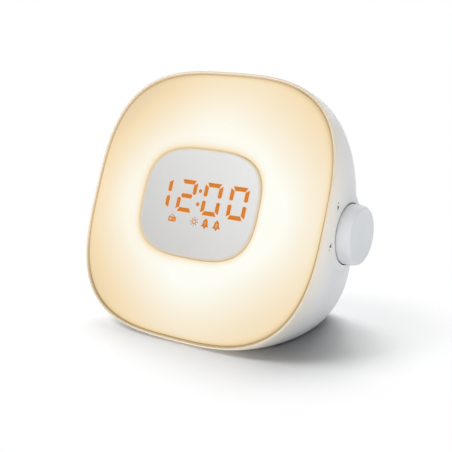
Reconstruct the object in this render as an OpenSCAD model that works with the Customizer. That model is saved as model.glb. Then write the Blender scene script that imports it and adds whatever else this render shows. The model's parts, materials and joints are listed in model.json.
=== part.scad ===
// Sunrise alarm clock. A lit square face with rounded corners leans back on a deep moulded
// housing, with an LED display behind a window in its middle and a large knob on its side.
// Millimetres, +Z up. The face looks towards -Y and the knob is on +X. The origin lies on the
// surface that the clock stands on, in the middle of its rubber pad.

/* [Face] */
// Width of the light diffuser
diffuser_w = 180; // [172:1:200]
// Height of the light diffuser, measured along the leaning face
diffuser_h = 180; // [172:1:200]
// Exponent of the rounded square outlines: 2 is an ellipse, larger is squarer
squareness = 3.08; // [2.8:0.02:3.6]
// Angle by which the face leans back
lean = 23; // [18:1:26]
// How far the diffuser bulges forward at the window
dome = 4.6; // [3.5:0.1:6]
// Wall of the diffuser
diffuser_t = 2; // [1.6:0.1:2.4]
// Depth of the diffuser's skirt behind the rim
skirt = 4; // [3.5:0.1:5]

/* [Housing] */
// Wall of the housing
wall = 2.4; // [2:0.1:3]
// Gap between the diffuser and the housing's rim
rim_gap = 0.2; // [0.1:0.05:0.4]
// Straight band behind the rim
band = 6.6; // [4:0.2:12]
// Depth of the bowl behind the band
bowl_depth = 76.5; // [72:0.5:90]
// How far each side draws in towards the back
side_taper = 26; // [18:1:32]
// How far the top draws in towards the back
top_taper = 51; // [44:1:54]
// How far the bottom draws in towards the back
bottom_taper = 30; // [24:1:34]
// How far the middle of the bowl rises towards the back
rise = 8.3; // [6:0.1:11]
// Angle by which the back leans
back_tilt = 2.3; // [0:0.1:5]
// Height of the rim's lowest point over the flat base
rim_lift = 1.4; // [1.2:0.1:2.4]
// Floor of the housing over the flat base
floor_t = 3.6; // [3:0.1:5]

/* [Base pad] */
// Width of the rubber pad
pad_w = 84; // [60:1:90]
// Length of the rubber pad from front to back
pad_d = 88; // [60:1:92]
// Thickness of the rubber pad
pad_t = 2; // [1.8:0.1:2.4]
// How far the pad stands out of the housing
pad_proud = 1; // [0.6:0.1:1.4]
// Distance of the pad's middle behind the middle of the face
pad_setback = 24; // [20:1:28]

/* [Window and display] */
// Width of the display window
window_w = 91.4; // [88:0.2:98]
// Height of the display window
window_h = 74; // [71:0.5:80]
// Thickness of the window at its edge
window_t = 2; // [1.6:0.1:2.4]
// How far the window's edge stands in front of the rim
window_proud = 5; // [4.4:0.1:5.6]
// Gap around the window
window_gap = 0.4; // [0.2:0.05:0.6]
// Wall of the display's housing
collar_wall = 1.8; // [1.4:0.1:2.2]
// Height of a digit between the middles of its top and bottom bars
digit_h = 19.7; // [17:0.1:21]
// Width of a digit between the middles of its side bars
digit_w = 10.8; // [9:0.1:12]
// Distance from one digit to the next
digit_pitch = 20.1; // [18:0.1:21]
// Width of a digit's bars
bar_w = 2.5; // [2:0.1:2.8]
// Height of the digits' middle over the middle of the face
digit_up = 4.1; // [3:0.1:5]
// Size of the symbols under the digits
icon_size = 5; // [4:0.2:6]
// Distance of the symbols below the middle of the face
icon_down = 12.4; // [12:0.1:14]

/* [Light] */
// Width of the tray's flange around the lit mouth
tray_flange = 10.7; // [10:0.1:14]
// Depth of the tray's floor behind the rim
tray_depth = 22; // [20:0.5:24]
// How far the tray's wall leans in between its mouth and its floor
tray_slope = 7; // [4:0.5:9]
// Wall of the tray
tray_t = 2; // [1.6:0.1:2.4]
// Thickness of every circuit board
board_t = 1.6; // [1.2:0.2:2]
// Number of lamps around the light board
lamp_count = 28; // [16:2:36]
// Width of each lamp
lamp_w = 5; // [3:0.5:6]

/* [Knob] */
// Radius of the knob
knob_r = 20; // [18:0.5:22]
// Distance of the knob's face from the middle of the clock
knob_reach = 102.5; // [102:0.5:106]
// Distance of the knob's axis behind the rim
knob_back = 36.2; // [33:0.2:38]
// Rounding of the knob's outer edge
knob_edge = 0.8; // [0.6:0.1:2.5]
// Gap between the knob and its recess
knob_gap = 0.9; // [0.5:0.1:1.2]
// How far the housing's boss stands out at the knob's axis
boss_proud = 2.4; // [1.8:0.1:3]
// Depth of the knob's recess in the boss
recess = 1.6; // [1.4:0.1:2.2]
// Travel of the knob when pressed
press_travel = 0.5; // [0.3:0.05:0.6]
// Radius of the encoder's shaft
shaft_r = 3; // [2.5:0.1:3.2]
// Radius of the encoder's bush
bush_r = 4; // [3.8:0.1:4.5]

/* [Rear panel] */
// Width of the rear panel
panel_w = 112; // [110:1:118]
// Height of the rear panel
panel_h = 76; // [75:0.5:80]
// Corner radius of the rear panel
panel_corner = 14; // [11:0.5:18]
// Thickness of the rear panel
panel_t = 2.4; // [2:0.1:3]
// How far the rear panel's middle lies below the middle of the back
panel_drop = 8; // [6:0.5:11]
// Width of the housing's ledge under the panel's edge
ledge = 4; // [3:0.2:4.4]
// Width of a button
button_w = 11; // [9:0.5:11.4]
// Height of a button
button_h = 7; // [6:0.5:8]
// Distance from one button to the next
button_pitch = 16; // [15.6:0.1:16.4]
// Height of the row of buttons over the panel's middle
button_up = 27; // [26.4:0.2:27.6]
// Travel of a button
button_travel = 0.5; // [0.3:0.05:0.6]

/* [Speaker] */
// Radius of the speaker's frame
speaker_r = 26; // [24:0.5:26.5]
// Depth of the speaker behind the panel
speaker_depth = 20; // [17:0.5:22]
// Radius of one hole of the grille
grille_hole_r = 1.1; // [0.8:0.1:1.3]
// Distance from one hole of the grille to the next
grille_pitch = 3.8; // [3.4:0.1:5]

/* [Power] */
// Radius of the backup cell
cell_r = 10; // [8:0.5:10.5]
// Thickness of the backup cell
cell_t = 3.2; // [2:0.1:3.2]
// Radius of the power socket's opening
socket_r = 3.15; // [2.8:0.05:3.4]
// Radius of the power socket's centre pin
socket_pin_r = 1.05; // [0.8:0.05:1.2]

/* [Hidden] */

$fn = 64;
steps = 72; // points around each rounded square
eps = 0.01;

// Colours
white = [0.90, 0.90, 0.89];
warm_white = [0.99, 0.94, 0.82];
pale_grey = [0.84, 0.84, 0.83];
dark = [0.12, 0.12, 0.13];
board_green = [0.10, 0.36, 0.20];
metal = [0.72, 0.73, 0.74];
orange = [0.95, 0.55, 0.15];

// Face and housing
rim_w = diffuser_w / 2 + rim_gap + wall; // half width of the rim
rim_h = diffuser_h / 2 + rim_gap + wall; // half height of the rim
lip = wall / 2;
face_up = pad_proud + rim_lift + rim_h * cos(lean);
floor_z = pad_proud + floor_t;
total_depth = band + bowl_depth;
big = 2 * (rim_w + rim_h);

pad_corner = 12;

// Window and display, as distances from the rim's plane: positive is in front
window_seat = window_proud - window_t;
collar_flange = 2.8;
collar_flange_t = 1.6;
diffuser_seat = window_seat - diffuser_t; // front of the collar's flange
collar_inner_w = window_w / 2 - collar_wall;
collar_inner_h = window_h / 2 - collar_wall;
board_ledge = 2.5;
display_board_front = -5;
module_w = 72;
module_h = 46;
module_down = 2.5;
segment_t = 0.8;
module_front = window_seat - 0.3 - segment_t;
bar_gap = 0.8;
colon_r = 1.15;
colon_spread = 4.2;
icon_places = [-18.2, -0.4, 8.4, 17.3];

// Light tray
mouth_w = rim_w - wall - tray_flange;
mouth_h = rim_h - wall - tray_flange;
flange_t = tray_t;
tray_gap = 0.3;
lamp_t = 1.2;
light_board_edge = 2.5; // between the light board and the foot of the tray's wall
light_board_w = mouth_w - tray_slope - light_board_edge;
light_board_h = mouth_h - tray_slope - light_board_edge;
light_hole_w = window_w / 2 + 4;
light_hole_h = window_h / 2 + 4;
screw_r = 1.3;
screw_head_r = 2.6;
screw_head_t = 1.6;
tray_boss_r = 4;
tray_boss_len = 10;
tray_boss_in = rim_gap + diffuser_t + 0.8 + screw_head_r; // from the inner wall, along a diagonal
diagonal = pow(2, -1 / squareness); // corner of a rounded square of half size 1
tray_boss_x = diagonal * (rim_w - wall) - tray_boss_in / sqrt(2);
tray_boss_y = diagonal * (rim_h - wall) - tray_boss_in / sqrt(2);

// Main board, behind the tray
standoff_len = 12;
standoff_r = 3.2;
standoff_x = 48;
standoff_y = 32;
main_board_w = 110;
main_board_h = 76;
tray_back = -tray_depth - tray_t;
main_board_front = tray_back - standoff_len;
main_board_back = main_board_front - board_t;
cable_t = 0.4;
display_cable_w = 20;
light_cable_w = 8;
light_cable_y = 45;
screw_bite = 6; // length of the main board's screws in their standoffs
chip_place = [-12, 12];
chip_w = 10;
chip_t = 1.4;
tuner_place = [14, 14];
tuner_w = 16;
tuner_h = 14;
tuner_t = 3;
capacitor_places = [-30, -20, 36];
capacitor_r = 4;
capacitor_len = 9;
capacitor_y = main_board_h / 2 - 3 * capacitor_r;
cable_inset = 6; // from the main board's edge to the end of the light's cable

// Knob and encoder, as distances from the clock's middle plane
knob_bulge = 1 - sqrt(1 - pow((knob_back - band) / bowl_depth, 2));
knob_wall_x = rim_w - side_taper * knob_bulge; // outer surface of the housing at the knob's axis
boss_x = knob_wall_x + boss_proud;
boss_lip = 2.8;
boss_flare = 8;
boss_flare_steps = 4;
recess_r = knob_r + knob_gap;
recess_x = boss_x - recess;
knob_x = recess_x + press_travel + 0.1; // back of the knob
knob_wall = 2.4;
knob_hub_r = 6;
pad_r = 11;
encoder_x = knob_wall_x - wall - 1.7; // seat of the encoder inside the housing
bush_end = recess_x + 3;
running_gap = 0.05;
shaft_end = knob_reach - knob_wall - 1;
shaft_tail = encoder_x - 5.7;
plunger_r = 1.5;
plunger_len = 2.2;
plunger_tail = shaft_tail - plunger_len;
encoder_len = encoder_x - plunger_tail + press_travel + 1.1;
encoder_w = 12;
encoder_h = 13;
encoder_board_w = 16;
encoder_board_h = 18;
washer_t = 0.5;
nut_t = 2;

// Rear panel, as depths inside the back's outer plane
panel_recess = 0.6;
panel_gap = 0.3;
panel_in = panel_recess + panel_t;
ledge_t = 2.2;
panel_boss_r = 3.2;
panel_boss_len = 7;
panel_boss_in = 4.2;
panel_boss_shift = panel_corner * (1 - 1 / sqrt(2)) + panel_boss_in / sqrt(2);
panel_boss_x = panel_w / 2 - panel_boss_shift;
panel_boss_y = panel_h / 2 - panel_boss_shift;
counterbore = 1.4;
panel_screw_len = panel_t - counterbore + panel_boss_len;

// Speaker
speaker_x = -24;
speaker_y = -6;
gasket_t = 0.8;
frame_t = 1.2;
cone_r = speaker_r - 5.5;
small_screw_r = 0.9;
small_screw_head_r = 1.8;
small_screw_head_t = 0.8;
speaker_screw_at = speaker_r - 2.2;
magnet_r = 15;
magnet_t = 7;
coil_r = 5;
speaker_front = panel_in + gasket_t;
magnet_z = panel_in + speaker_depth - magnet_t;
grille_r = cone_r - grille_hole_r;
grille_rings = floor(grille_r / grille_pitch);

// Buttons
button_count = 6;
button_gap = 0.25;
button_proud = 1.2;
button_flange = 0.8;
button_corner = 3;
button_board_z = panel_in + 5.6;
switch_w = 6;
button_board_w = (button_count - 1) * button_pitch + switch_w + 2;
button_board_h = 2 * switch_w;
switch_t = 3;
switch_plunger_t = 0.6;
switch_plunger_r = 1.7;
button_stem_r = 1.6;
button_stem_end = button_board_z - switch_t - switch_plunger_t - button_travel - 0.05;
post_r = 1.6;
post_screw_r = 0.7;
post_screw_head_r = 1.5;
post_screw_bite = 3;
post_places = [-2 * button_pitch, 0, 2 * button_pitch];

// Power socket and backup cell
socket_x = 42;
socket_y = -22;
socket_w = 9;
socket_h = 11;
socket_len = 13;
socket_depth = 9.5;
nose_r = socket_r + 1.25;
cell_x = 20;
cell_y = -3;
cover_r = cell_r + 2.4;
cover_t = 1.8;
cover_gap = 0.3;
cover_ear_r = 3.6;
cover_ear_y = -cover_r - 2;
cover_post_r = 2.6;
cover_screw_len = 4;
cover_post_len = 4;
cup_wall = 2.2;
cup_r = cell_r + 0.4;
cell_z = panel_recess + cover_t + 0.1;
spring_t = 0.3;
spring_rise = 1.4;
cup_floor_z = cell_z + cell_t + spring_rise + spring_t;
cup_floor_t = 1.2;

// ---------------------------------------------------------------- outlines and skins

function squircle_k(a) = pow(pow(abs(cos(a)), squareness) + pow(abs(sin(a)), squareness), -1 / squareness);

// Points of a rounded square of half width w and half height h
function squircle(w, h) = [
  for (i = [0 : steps - 1])
    let (a = 360 * i / steps)
      squircle_k(a) * [w * cos(a), h * sin(a)]
];

// The same outline at height z
function ring_at(w, h, z) = [for (p = squircle(w, h)) [p.x, p.y, z]];

// Triangles between ring j and ring j + 1 of a skin of r rings
function strip(j, r) = [
  for (i = [0 : steps - 1])
    let (a = j * steps, b = (j + 1) % r * steps, n = (i + 1) % steps)
      each [[a + i, a + n, b + n], [a + i, b + n, b + i]]
];

// Closed solid through rings that run from its front middle, outwards and round to its back
module skin(rings) {
  r = len(rings);
  polyhedron(
    points = [for (ring = rings) each ring],
    faces = concat(
      [[for (i = [steps - 1 : -1 : 0]) i]],
      [for (j = [0 : r - 2]) each strip(j, r)],
      [[for (i = [0 : steps - 1]) (r - 1) * steps + i]]
    )
  );
}

// Closed frame through rings that run around its section
module frame_skin(rings) {
  r = len(rings);
  polyhedron(
    points = [for (ring = rings) each ring],
    faces = [for (j = [0 : r - 1]) each strip(j, r)]
  );
}

module squircle_plate(w, h, z, t) {
  translate([0, 0, z])
    linear_extrude(t)
      polygon(squircle(w, h));
}

module squircle_frame(w, h, in_w, in_h, z, t) {
  translate([0, 0, z])
    linear_extrude(t)
      difference() {
        polygon(squircle(w, h));
        polygon(squircle(in_w, in_h));
      }
}

module rounded_outline(w, h, r) {
  square([w - 2 * r, h], center = true);
  square([w, h - 2 * r], center = true);
  for (x = [-1, 1], y = [-1, 1])
    translate([x * (w / 2 - r), y * (h / 2 - r)])
      circle(r);
}

module rounded_plate(w, h, r, z, t) {
  translate([0, 0, z])
    linear_extrude(t)
      rounded_outline(w, h, r);
}

module box(w, h, z, t) {
  translate([-w / 2, -h / 2, z])
    cube([w, h, t]);
}

module rod(r, z, t) {
  translate([0, 0, z])
    cylinder(r = r, h = t);
}

// A screw whose head lies at z = 0 and whose shank points to -z
module screw(r, head_r, head_t, len) {
  rod(head_r, 0, head_t);
  rod(r, -len, len);
}

// ---------------------------------------------------------------- places

// Face frame: x across, y up the face, z out of the face, origin in the rim's plane
module at_face() {
  translate([0, -pad_setback, face_up])
    rotate([90 - lean, 0, 0])
      children();
}

// Knob frame: z runs along the knob's axis from the clock's middle plane
module at_knob() {
  at_face()
    translate([0, 0, -knob_back])
      rotate([0, 90, 0])
        children();
}

// Panel frame: x across, y up the panel, z into the clock from the back's outer plane
module at_panel() {
  translate([
    0,
    -pad_setback + total_depth * cos(lean) + rise * sin(lean),
    face_up - total_depth * sin(lean) + rise * cos(lean)
  ])
    rotate([90 - back_tilt, 0, 0])
      translate([0, -panel_drop, 0])
        children();
}

module at_tray_bosses() {
  at_face()
    for (x = [-1, 1], y = [-1, 1])
      translate([x * tray_boss_x, y * tray_boss_y, 0])
        children();
}

module at_standoffs() {
  at_face()
    for (x = [-1, 1], y = [-1, 1])
      translate([x * standoff_x, y * standoff_y, 0])
        children();
}

module at_panel_screws() {
  at_panel()
    for (x = [-1, 1], y = [-1, 1])
      translate([x * panel_boss_x, y * panel_boss_y, 0])
        children();
}

module at_speaker() {
  at_panel()
    translate([speaker_x, speaker_y, 0])
      children();
}

module at_speaker_screws() {
  at_speaker()
    for (a = [45 : 90 : 315])
      rotate([0, 0, a])
        translate([speaker_screw_at, 0, 0])
          children();
}

// Place of button number i, counted from -X
module at_button(i) {
  at_panel()
    translate([(i - (button_count - 1) / 2) * button_pitch, button_up, 0])
      children();
}

module at_cell() {
  at_panel()
    translate([cell_x, cell_y, 0])
      children();
}

module at_socket() {
  at_panel()
    translate([socket_x, socket_y, 0])
      children();
}

// ---------------------------------------------------------------- housing

// Section of the bowl where its quarter-round profile has turned by angle f, moved in by inset
function bowl_ring(f, inset) =
  let (
    g = sin(f),
    s = 1 - cos(f),
    depth = band + (bowl_depth - inset) * g,
    tilt = lean - (lean - back_tilt) * g,
    w = rim_w - inset - side_taper * s,
    top = rim_h - inset - top_taper * s,
    bottom = rim_h - inset - bottom_taper * s,
    y = -pad_setback + depth * cos(lean) + rise * g * sin(lean),
    z = face_up - depth * sin(lean) + rise * g * cos(lean)
  ) [
    for (i = [0 : steps - 1])
      let (
        a = 360 * i / steps,
        k = squircle_k(a),
        v = k * sin(a) * (sin(a) > 0 ? top : bottom)
      ) [k * w * cos(a), y + v * sin(tilt), z + v * cos(tilt)]
  ];

// Section parallel to the rim, d behind it
function rim_ring(inset, d) = [
  for (p = squircle(rim_w - inset, rim_h - inset))
    [p.x, -pad_setback + d * cos(lean) + p.y * sin(lean), face_up - d * sin(lean) + p.y * cos(lean)]
];

function bowl(angles, inset) = [for (f = angles) bowl_ring(f, inset)];

module below(z) {
  translate([-big / 2, -big / 2, z - big])
    cube(big);
}

// Boss around the knob, with a concave flare at its foot
module knob_boss() {
  r0 = recess_r + boss_lip;
  at_knob()
    rotate_extrude()
      polygon(concat(
        [[0, boss_x - boss_flare - 1], [0, boss_x], [r0 - 0.6, boss_x], [r0, boss_x - 0.6]],
        [
          for (i = [1 : boss_flare_steps])
            let (a = 90 * i / boss_flare_steps)
              [r0 + boss_flare * (1 - cos(a)), boss_x - 0.6 - boss_flare * sin(a)]
        ],
        [[r0 + boss_flare, boss_x - boss_flare - 1]]
      ));
}

// Posts beside the rim for the tray's screws, each with a rib that ties it to the wall
module tray_posts() {
  at_face()
    for (x = [-1, 1], y = [-1, 1])
      translate([x * tray_boss_x, y * tray_boss_y, -skirt - flange_t - tray_boss_len])
        linear_extrude(tray_boss_len) {
          circle(tray_boss_r);
          rotate(y * (90 - x * 45))
            translate([0, -lip])
              square([tray_boss_in + wall / 2, wall]);
        }
}

module rear_shell() {
  color(white)
    difference() {
      union() {
        difference() {
          union() {
            skin(concat(
              [rim_ring(lip, 0), rim_ring(lip * 0.3, lip * 0.3), rim_ring(0, lip)],
              bowl([0, 12, 24, 36, 47, 57, 66, 74, 81, 86, 90], 0)
            ));
            knob_boss();
          }
          difference() {
            skin(concat(
              [rim_ring(lip, -1), rim_ring(lip, 0), rim_ring(wall, lip)],
              bowl([0, 18, 36, 52, 66, 78, 90], wall)
            ));
            below(floor_z);
          }
          at_face() squircle_plate(
            rim_w - wall, rim_h - wall, -skirt - flange_t - tray_gap, skirt + flange_t
          );
          below(pad_proud);
        }
        tray_posts();
        at_knob() rod(pad_r, encoder_x, recess_x - encoder_x - 0.3);
        at_panel() rounded_plate(
          panel_w + 2 * (panel_gap + wall), panel_h + 2 * (panel_gap + wall),
          panel_corner + panel_gap + wall, lip, panel_in + ledge_t - lip
        );
        at_panel_screws() rod(panel_boss_r, panel_in + ledge_t, panel_boss_len);
      }
      at_tray_bosses() rod(screw_r, -skirt - flange_t - tray_boss_len + 2, tray_boss_len);
      at_knob() rod(recess_r, recess_x, big);
      at_knob() rod(bush_r + 0.1, encoder_x - 1, recess_x - encoder_x + 2);
      at_panel() rounded_plate(
        panel_w + 2 * panel_gap, panel_h + 2 * panel_gap, panel_corner + panel_gap, panel_in - big, big
      );
      at_panel() rounded_plate(
        panel_w - 2 * ledge, panel_h - 2 * ledge, panel_corner - ledge, panel_in - 1, ledge_t + 2
      );
      at_panel_screws() rod(screw_r, panel_in - 1, ledge_t + panel_boss_len);
      rounded_plate(pad_w + 0.4, pad_d + 0.4, pad_corner + 0.2, pad_proud - 1, pad_t - pad_proud + 1);
    }
}

module base_pad() {
  color(dark)
    rounded_plate(pad_w, pad_d, pad_corner, 0, pad_t);
}

// ---------------------------------------------------------------- face

// Front surface of the diffuser, t of the way from its edge to the window
function dome_z(t) = dome * sin(90 * t);
function between(a, b, t) = a + (b - a) * t;
function diffuser_ring(t, z) = ring_at(
  between(diffuser_w / 2, window_w / 2 + window_gap, t),
  between(diffuser_h / 2, window_h / 2 + window_gap, t), z
);
function edge_ring(inset, z) = ring_at(diffuser_w / 2 - inset, diffuser_h / 2 - inset, z);
function hole_ring(outset, z) = ring_at(
  window_w / 2 + window_gap + outset, window_h / 2 + window_gap + outset, z
);

module light_diffuser() {
  tray_front = -skirt;
  color(warm_white)
    at_face()
      frame_skin(concat(
        [edge_ring(0, -1.6), edge_ring(0, tray_front), edge_ring(diffuser_t, tray_front)],
        [edge_ring(diffuser_t + 0.2, -diffuser_t - 0.4)],
        [for (t = [0.12, 0.3, 0.5, 0.7, 0.86]) diffuser_ring(t, dome_z(t) - diffuser_t)],
        [hole_ring(collar_flange, diffuser_seat), hole_ring(0, diffuser_seat)],
        [hole_ring(0, window_seat + 0.3), hole_ring(0.9, window_seat + 1.1)],
        [for (t = [0.92, 0.78, 0.6, 0.42, 0.26, 0.14]) diffuser_ring(t, dome_z(t))],
        [edge_ring(2.6, 0.1), edge_ring(0.8, -0.4)]
      ));
}

module display_window() {
  w = window_w / 2;
  h = window_h / 2;
  color(pale_grey)
    at_face()
      skin([
        ring_at(w * 0.3, h * 0.3, window_proud + 0.5),
        ring_at(w * 0.7, h * 0.7, window_proud + 0.35),
        ring_at(w - 0.8, h - 0.8, window_proud),
        ring_at(w - 0.2, h - 0.2, window_proud - 0.25),
        ring_at(w, h, window_proud - 0.8),
        ring_at(w, h, window_seat)
      ]);
}

// Opaque collar that keeps the face's light out of the display and carries window and board
module display_housing() {
  w = window_w / 2;
  h = window_h / 2;
  color(white)
    at_face() {
      squircle_frame(w, h, collar_inner_w, collar_inner_h, -tray_depth, tray_depth + window_seat);
      squircle_frame(
        w + window_gap + collar_flange - 0.2, h + window_gap + collar_flange - 0.2,
        w - eps, h - eps, diffuser_seat - collar_flange_t, collar_flange_t
      );
      squircle_frame(
        collar_inner_w + eps, collar_inner_h + eps, collar_inner_w - board_ledge,
        collar_inner_h - board_ledge, display_board_front - board_t - 1.4, 1.4
      );
    }
}

module display_board() {
  color(board_green)
    at_face()
      squircle_plate(
        collar_inner_w - 0.3, collar_inner_h - 0.3, display_board_front - board_t, board_t
      );
}

module display_module() {
  color(pale_grey)
    at_face()
      translate([0, -module_down, 0])
        box(module_w, module_h, display_board_front, module_front - display_board_front);
}

// One pointed bar of a digit, lying along x
module bar(len) {
  e = bar_w / 2;
  linear_extrude(segment_t)
    polygon([
      [-len / 2, 0], [-len / 2 + e, e], [len / 2 - e, e],
      [len / 2, 0], [len / 2 - e, -e], [-len / 2 + e, -e]
    ]);
}

module digit() {
  across = digit_w - bar_gap;
  upright = digit_h / 2 - bar_gap;
  for (y = [-1, 0, 1])
    translate([0, y * digit_h / 2, 0])
      bar(across);
  for (x = [-1, 1], y = [-1, 1])
    translate([x * digit_w / 2, y * digit_h / 4, 0])
      rotate([0, 0, 90])
        bar(upright);
}

module display_segments() {
  color(orange)
    at_face()
      translate([0, digit_up, module_front]) {
        for (i = [0 : 3])
          translate([(i - 1.5) * digit_pitch, 0, 0])
            digit();
        for (y = [-1, 1])
          translate([0, y * colon_spread, 0])
            cylinder(r = colon_r, h = segment_t);
      }
}

module display_icons() {
  color(orange)
    at_face()
      for (x = icon_places)
        translate([x, -icon_down, module_front])
          rounded_plate(icon_size, icon_size, 1, 0, segment_t);
}

// ---------------------------------------------------------------- light

module reflector_tray() {
  foot_w = mouth_w - tray_slope;
  foot_h = mouth_h - tray_slope;
  edge_w = rim_w - wall - tray_gap;
  edge_h = rim_h - wall - tray_gap;
  color(white)
    difference() {
      union() {
        at_face()
          skin([
            ring_at(foot_w, foot_h, -tray_depth),
            ring_at(mouth_w, mouth_h, -skirt),
            ring_at(edge_w, edge_h, -skirt),
            ring_at(edge_w, edge_h, -skirt - flange_t),
            ring_at(mouth_w + tray_t, mouth_h + tray_t, -skirt - flange_t),
            ring_at(foot_w + tray_t, foot_h + tray_t, tray_back)
          ]);
        at_standoffs() rod(standoff_r, main_board_front, standoff_len + 1);
      }
      at_tray_bosses() rod(screw_r + 0.2, -skirt - flange_t - 1, flange_t + 2);
      at_standoffs() rod(screw_r, main_board_front - 1, screw_bite + 2);
      at_face() box(display_cable_w + 2, cable_t + 2, tray_back - 1, tray_t + 2);
      at_face()
        translate([0, light_cable_y, 0])
          box(light_cable_w + 2, cable_t + 2, tray_back - 1, tray_t + 2);
    }
}

module tray_screws() {
  color(metal)
    at_tray_bosses()
      translate([0, 0, -skirt])
        screw(screw_r, screw_head_r, screw_head_t, flange_t + tray_boss_len - 3);
}

module light_board() {
  color(white)
    at_face()
      squircle_frame(
        light_board_w, light_board_h, light_hole_w, light_hole_h, -tray_depth, board_t
      );
}

module light_lamps() {
  w = (light_board_w + light_hole_w) / 2;
  h = (light_board_h + light_hole_h) / 2;
  color(warm_white)
    at_face()
      for (i = [0 : lamp_count - 1])
        let (a = 360 * (i + 0.5) / lamp_count, k = squircle_k(a))
          translate([k * w * cos(a), k * h * sin(a), 0])
            box(lamp_w, lamp_w, -tray_depth + board_t, lamp_t);
}

module at_light_board_screws() {
  at_face()
    for (x = [-1, 1])
      translate([x * (light_hole_w + 3), 0, 0])
        children();
}

module light_board_screws() {
  color(metal)
    at_light_board_screws()
      translate([0, 0, -tray_depth + board_t])
        rod(screw_head_r, 0, screw_head_t);
}

// ---------------------------------------------------------------- electronics

module main_board() {
  color(board_green)
    at_face()
      difference() {
        rounded_plate(main_board_w, main_board_h, 3, main_board_back, board_t);
        for (x = [-1, 1], y = [-1, 1])
          translate([x * standoff_x, y * standoff_y, 0])
            rod(screw_r, main_board_back - 1, board_t + 2);
      }
}

module main_board_screws() {
  color(metal)
    at_standoffs()
      translate([0, 0, main_board_back])
        mirror([0, 0, 1])
          screw(screw_r, screw_head_r, screw_head_t, board_t + screw_bite);
}

module control_chip() {
  color(dark)
    at_face()
      translate(chip_place)
        box(chip_w, chip_w, main_board_back - chip_t, chip_t);
}

module radio_tuner() {
  color(metal)
    at_face()
      translate(tuner_place)
        box(tuner_w, tuner_h, main_board_back - tuner_t, tuner_t);
}

module capacitors() {
  color(dark)
    at_face()
      for (x = capacitor_places)
        translate([x, capacitor_y, 0])
          rod(capacitor_r, main_board_back - capacitor_len, capacitor_len);
}

// Flat cable from the display's board through the tray to the main board
module display_cable() {
  color(pale_grey)
    at_face()
      box(
        display_cable_w, cable_t, main_board_front,
        display_board_front - board_t - main_board_front
      );
}

// Flat cable from the light board through the tray, bent in to the main board's edge
module light_cable() {
  y_end = main_board_h / 2 - cable_inset;
  color(pale_grey)
    at_face() {
      translate([0, light_cable_y, 0])
        box(light_cable_w, cable_t, main_board_front + 3, -tray_depth - main_board_front - 3);
      translate([-light_cable_w / 2, y_end, main_board_front + 3])
        cube([light_cable_w, light_cable_y - y_end + cable_t / 2, cable_t]);
      translate([-light_cable_w / 2, y_end, main_board_front])
        cube([light_cable_w, cable_t, 3 + cable_t]);
    }
}

// ---------------------------------------------------------------- knob and encoder

// Round of radius r in a profile, from angle a to angle b about [x, y]
function arc(x, y, r, a, b) = [
  for (i = [0 : 6])
    let (t = between(a, b, i / 6))
      [x + r * cos(t), y + r * sin(t)]
];

module knob() {
  inner_r = knob_r - knob_wall;
  face_in = knob_reach - knob_wall;
  hub_x = bush_end + press_travel + 0.4;
  color(white)
    at_knob()
      rotate_extrude()
        polygon(concat(
          [[0, face_in], [0, knob_reach]],
          arc(knob_r - knob_edge, knob_reach - knob_edge, knob_edge, 90, 0),
          [[knob_r, knob_x + 0.5], [knob_r - 0.5, knob_x], [inner_r, knob_x], [inner_r, face_in]]
        ));
  color(white)
    at_knob()
      difference() {
        rod(knob_hub_r, hub_x, face_in - hub_x + eps);
        rod(shaft_r, hub_x - 1, shaft_end - hub_x + 1);
      }
}

module encoder_shaft() {
  color(metal)
    at_knob()
      rod(shaft_r, shaft_tail, shaft_end - shaft_tail);
}

module encoder_plunger() {
  color(dark)
    at_knob()
      rod(plunger_r, plunger_tail, plunger_len);
}

module encoder_body() {
  color(metal)
    at_knob()
      difference() {
        box(encoder_h, encoder_w, encoder_x - encoder_len, encoder_len);
        rod(shaft_r + running_gap, shaft_tail - press_travel - 0.1, encoder_len);
        rod(plunger_r + running_gap, plunger_tail - press_travel - 0.1, encoder_len);
      }
}

module encoder_bush() {
  color(metal)
    at_knob()
      difference() {
        rod(bush_r, encoder_x, bush_end - encoder_x);
        rod(shaft_r + running_gap, encoder_x - 1, bush_end - encoder_x + 2);
      }
}

module encoder_washer() {
  color(metal)
    at_knob()
      difference() {
        rod(bush_r + 2.5, recess_x, washer_t);
        rod(bush_r, recess_x - 1, washer_t + 2);
      }
}

module encoder_nut() {
  color(metal)
    at_knob()
      difference() {
        translate([0, 0, recess_x + washer_t])
          cylinder(r = bush_r + 2.3, h = nut_t, $fn = 6);
        rod(bush_r, recess_x, washer_t + nut_t + 1);
      }
}

module encoder_board() {
  color(board_green)
    at_knob()
      box(encoder_board_h, encoder_board_w, encoder_x - encoder_len - board_t, board_t);
}

// ---------------------------------------------------------------- rear panel

// Six-sided field of holes inside the cone's radius
module grille() {
  row = grille_pitch * sqrt(3) / 2;
  for (j = [-grille_rings - 1 : grille_rings + 1], i = [-grille_rings - 1 : grille_rings + 1])
    let (x = (i + (j % 2 == 0 ? 0 : 0.5)) * grille_pitch, y = j * row)
      if (norm([x, y]) < grille_r)
        translate([x, y, 0])
          rod(grille_hole_r, panel_recess - 1, panel_t + 2);
}

module button_hole() {
  rounded_plate(
    button_w + 2 * button_gap, button_h + 2 * button_gap,
    button_corner + button_gap, panel_recess - 1, panel_t + 2
  );
}

module cover_shape(grow, z, t) {
  rod(cover_r + grow, z, t);
  translate([0, cover_ear_y, 0])
    rod(cover_ear_r + grow, z, t);
}

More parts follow.
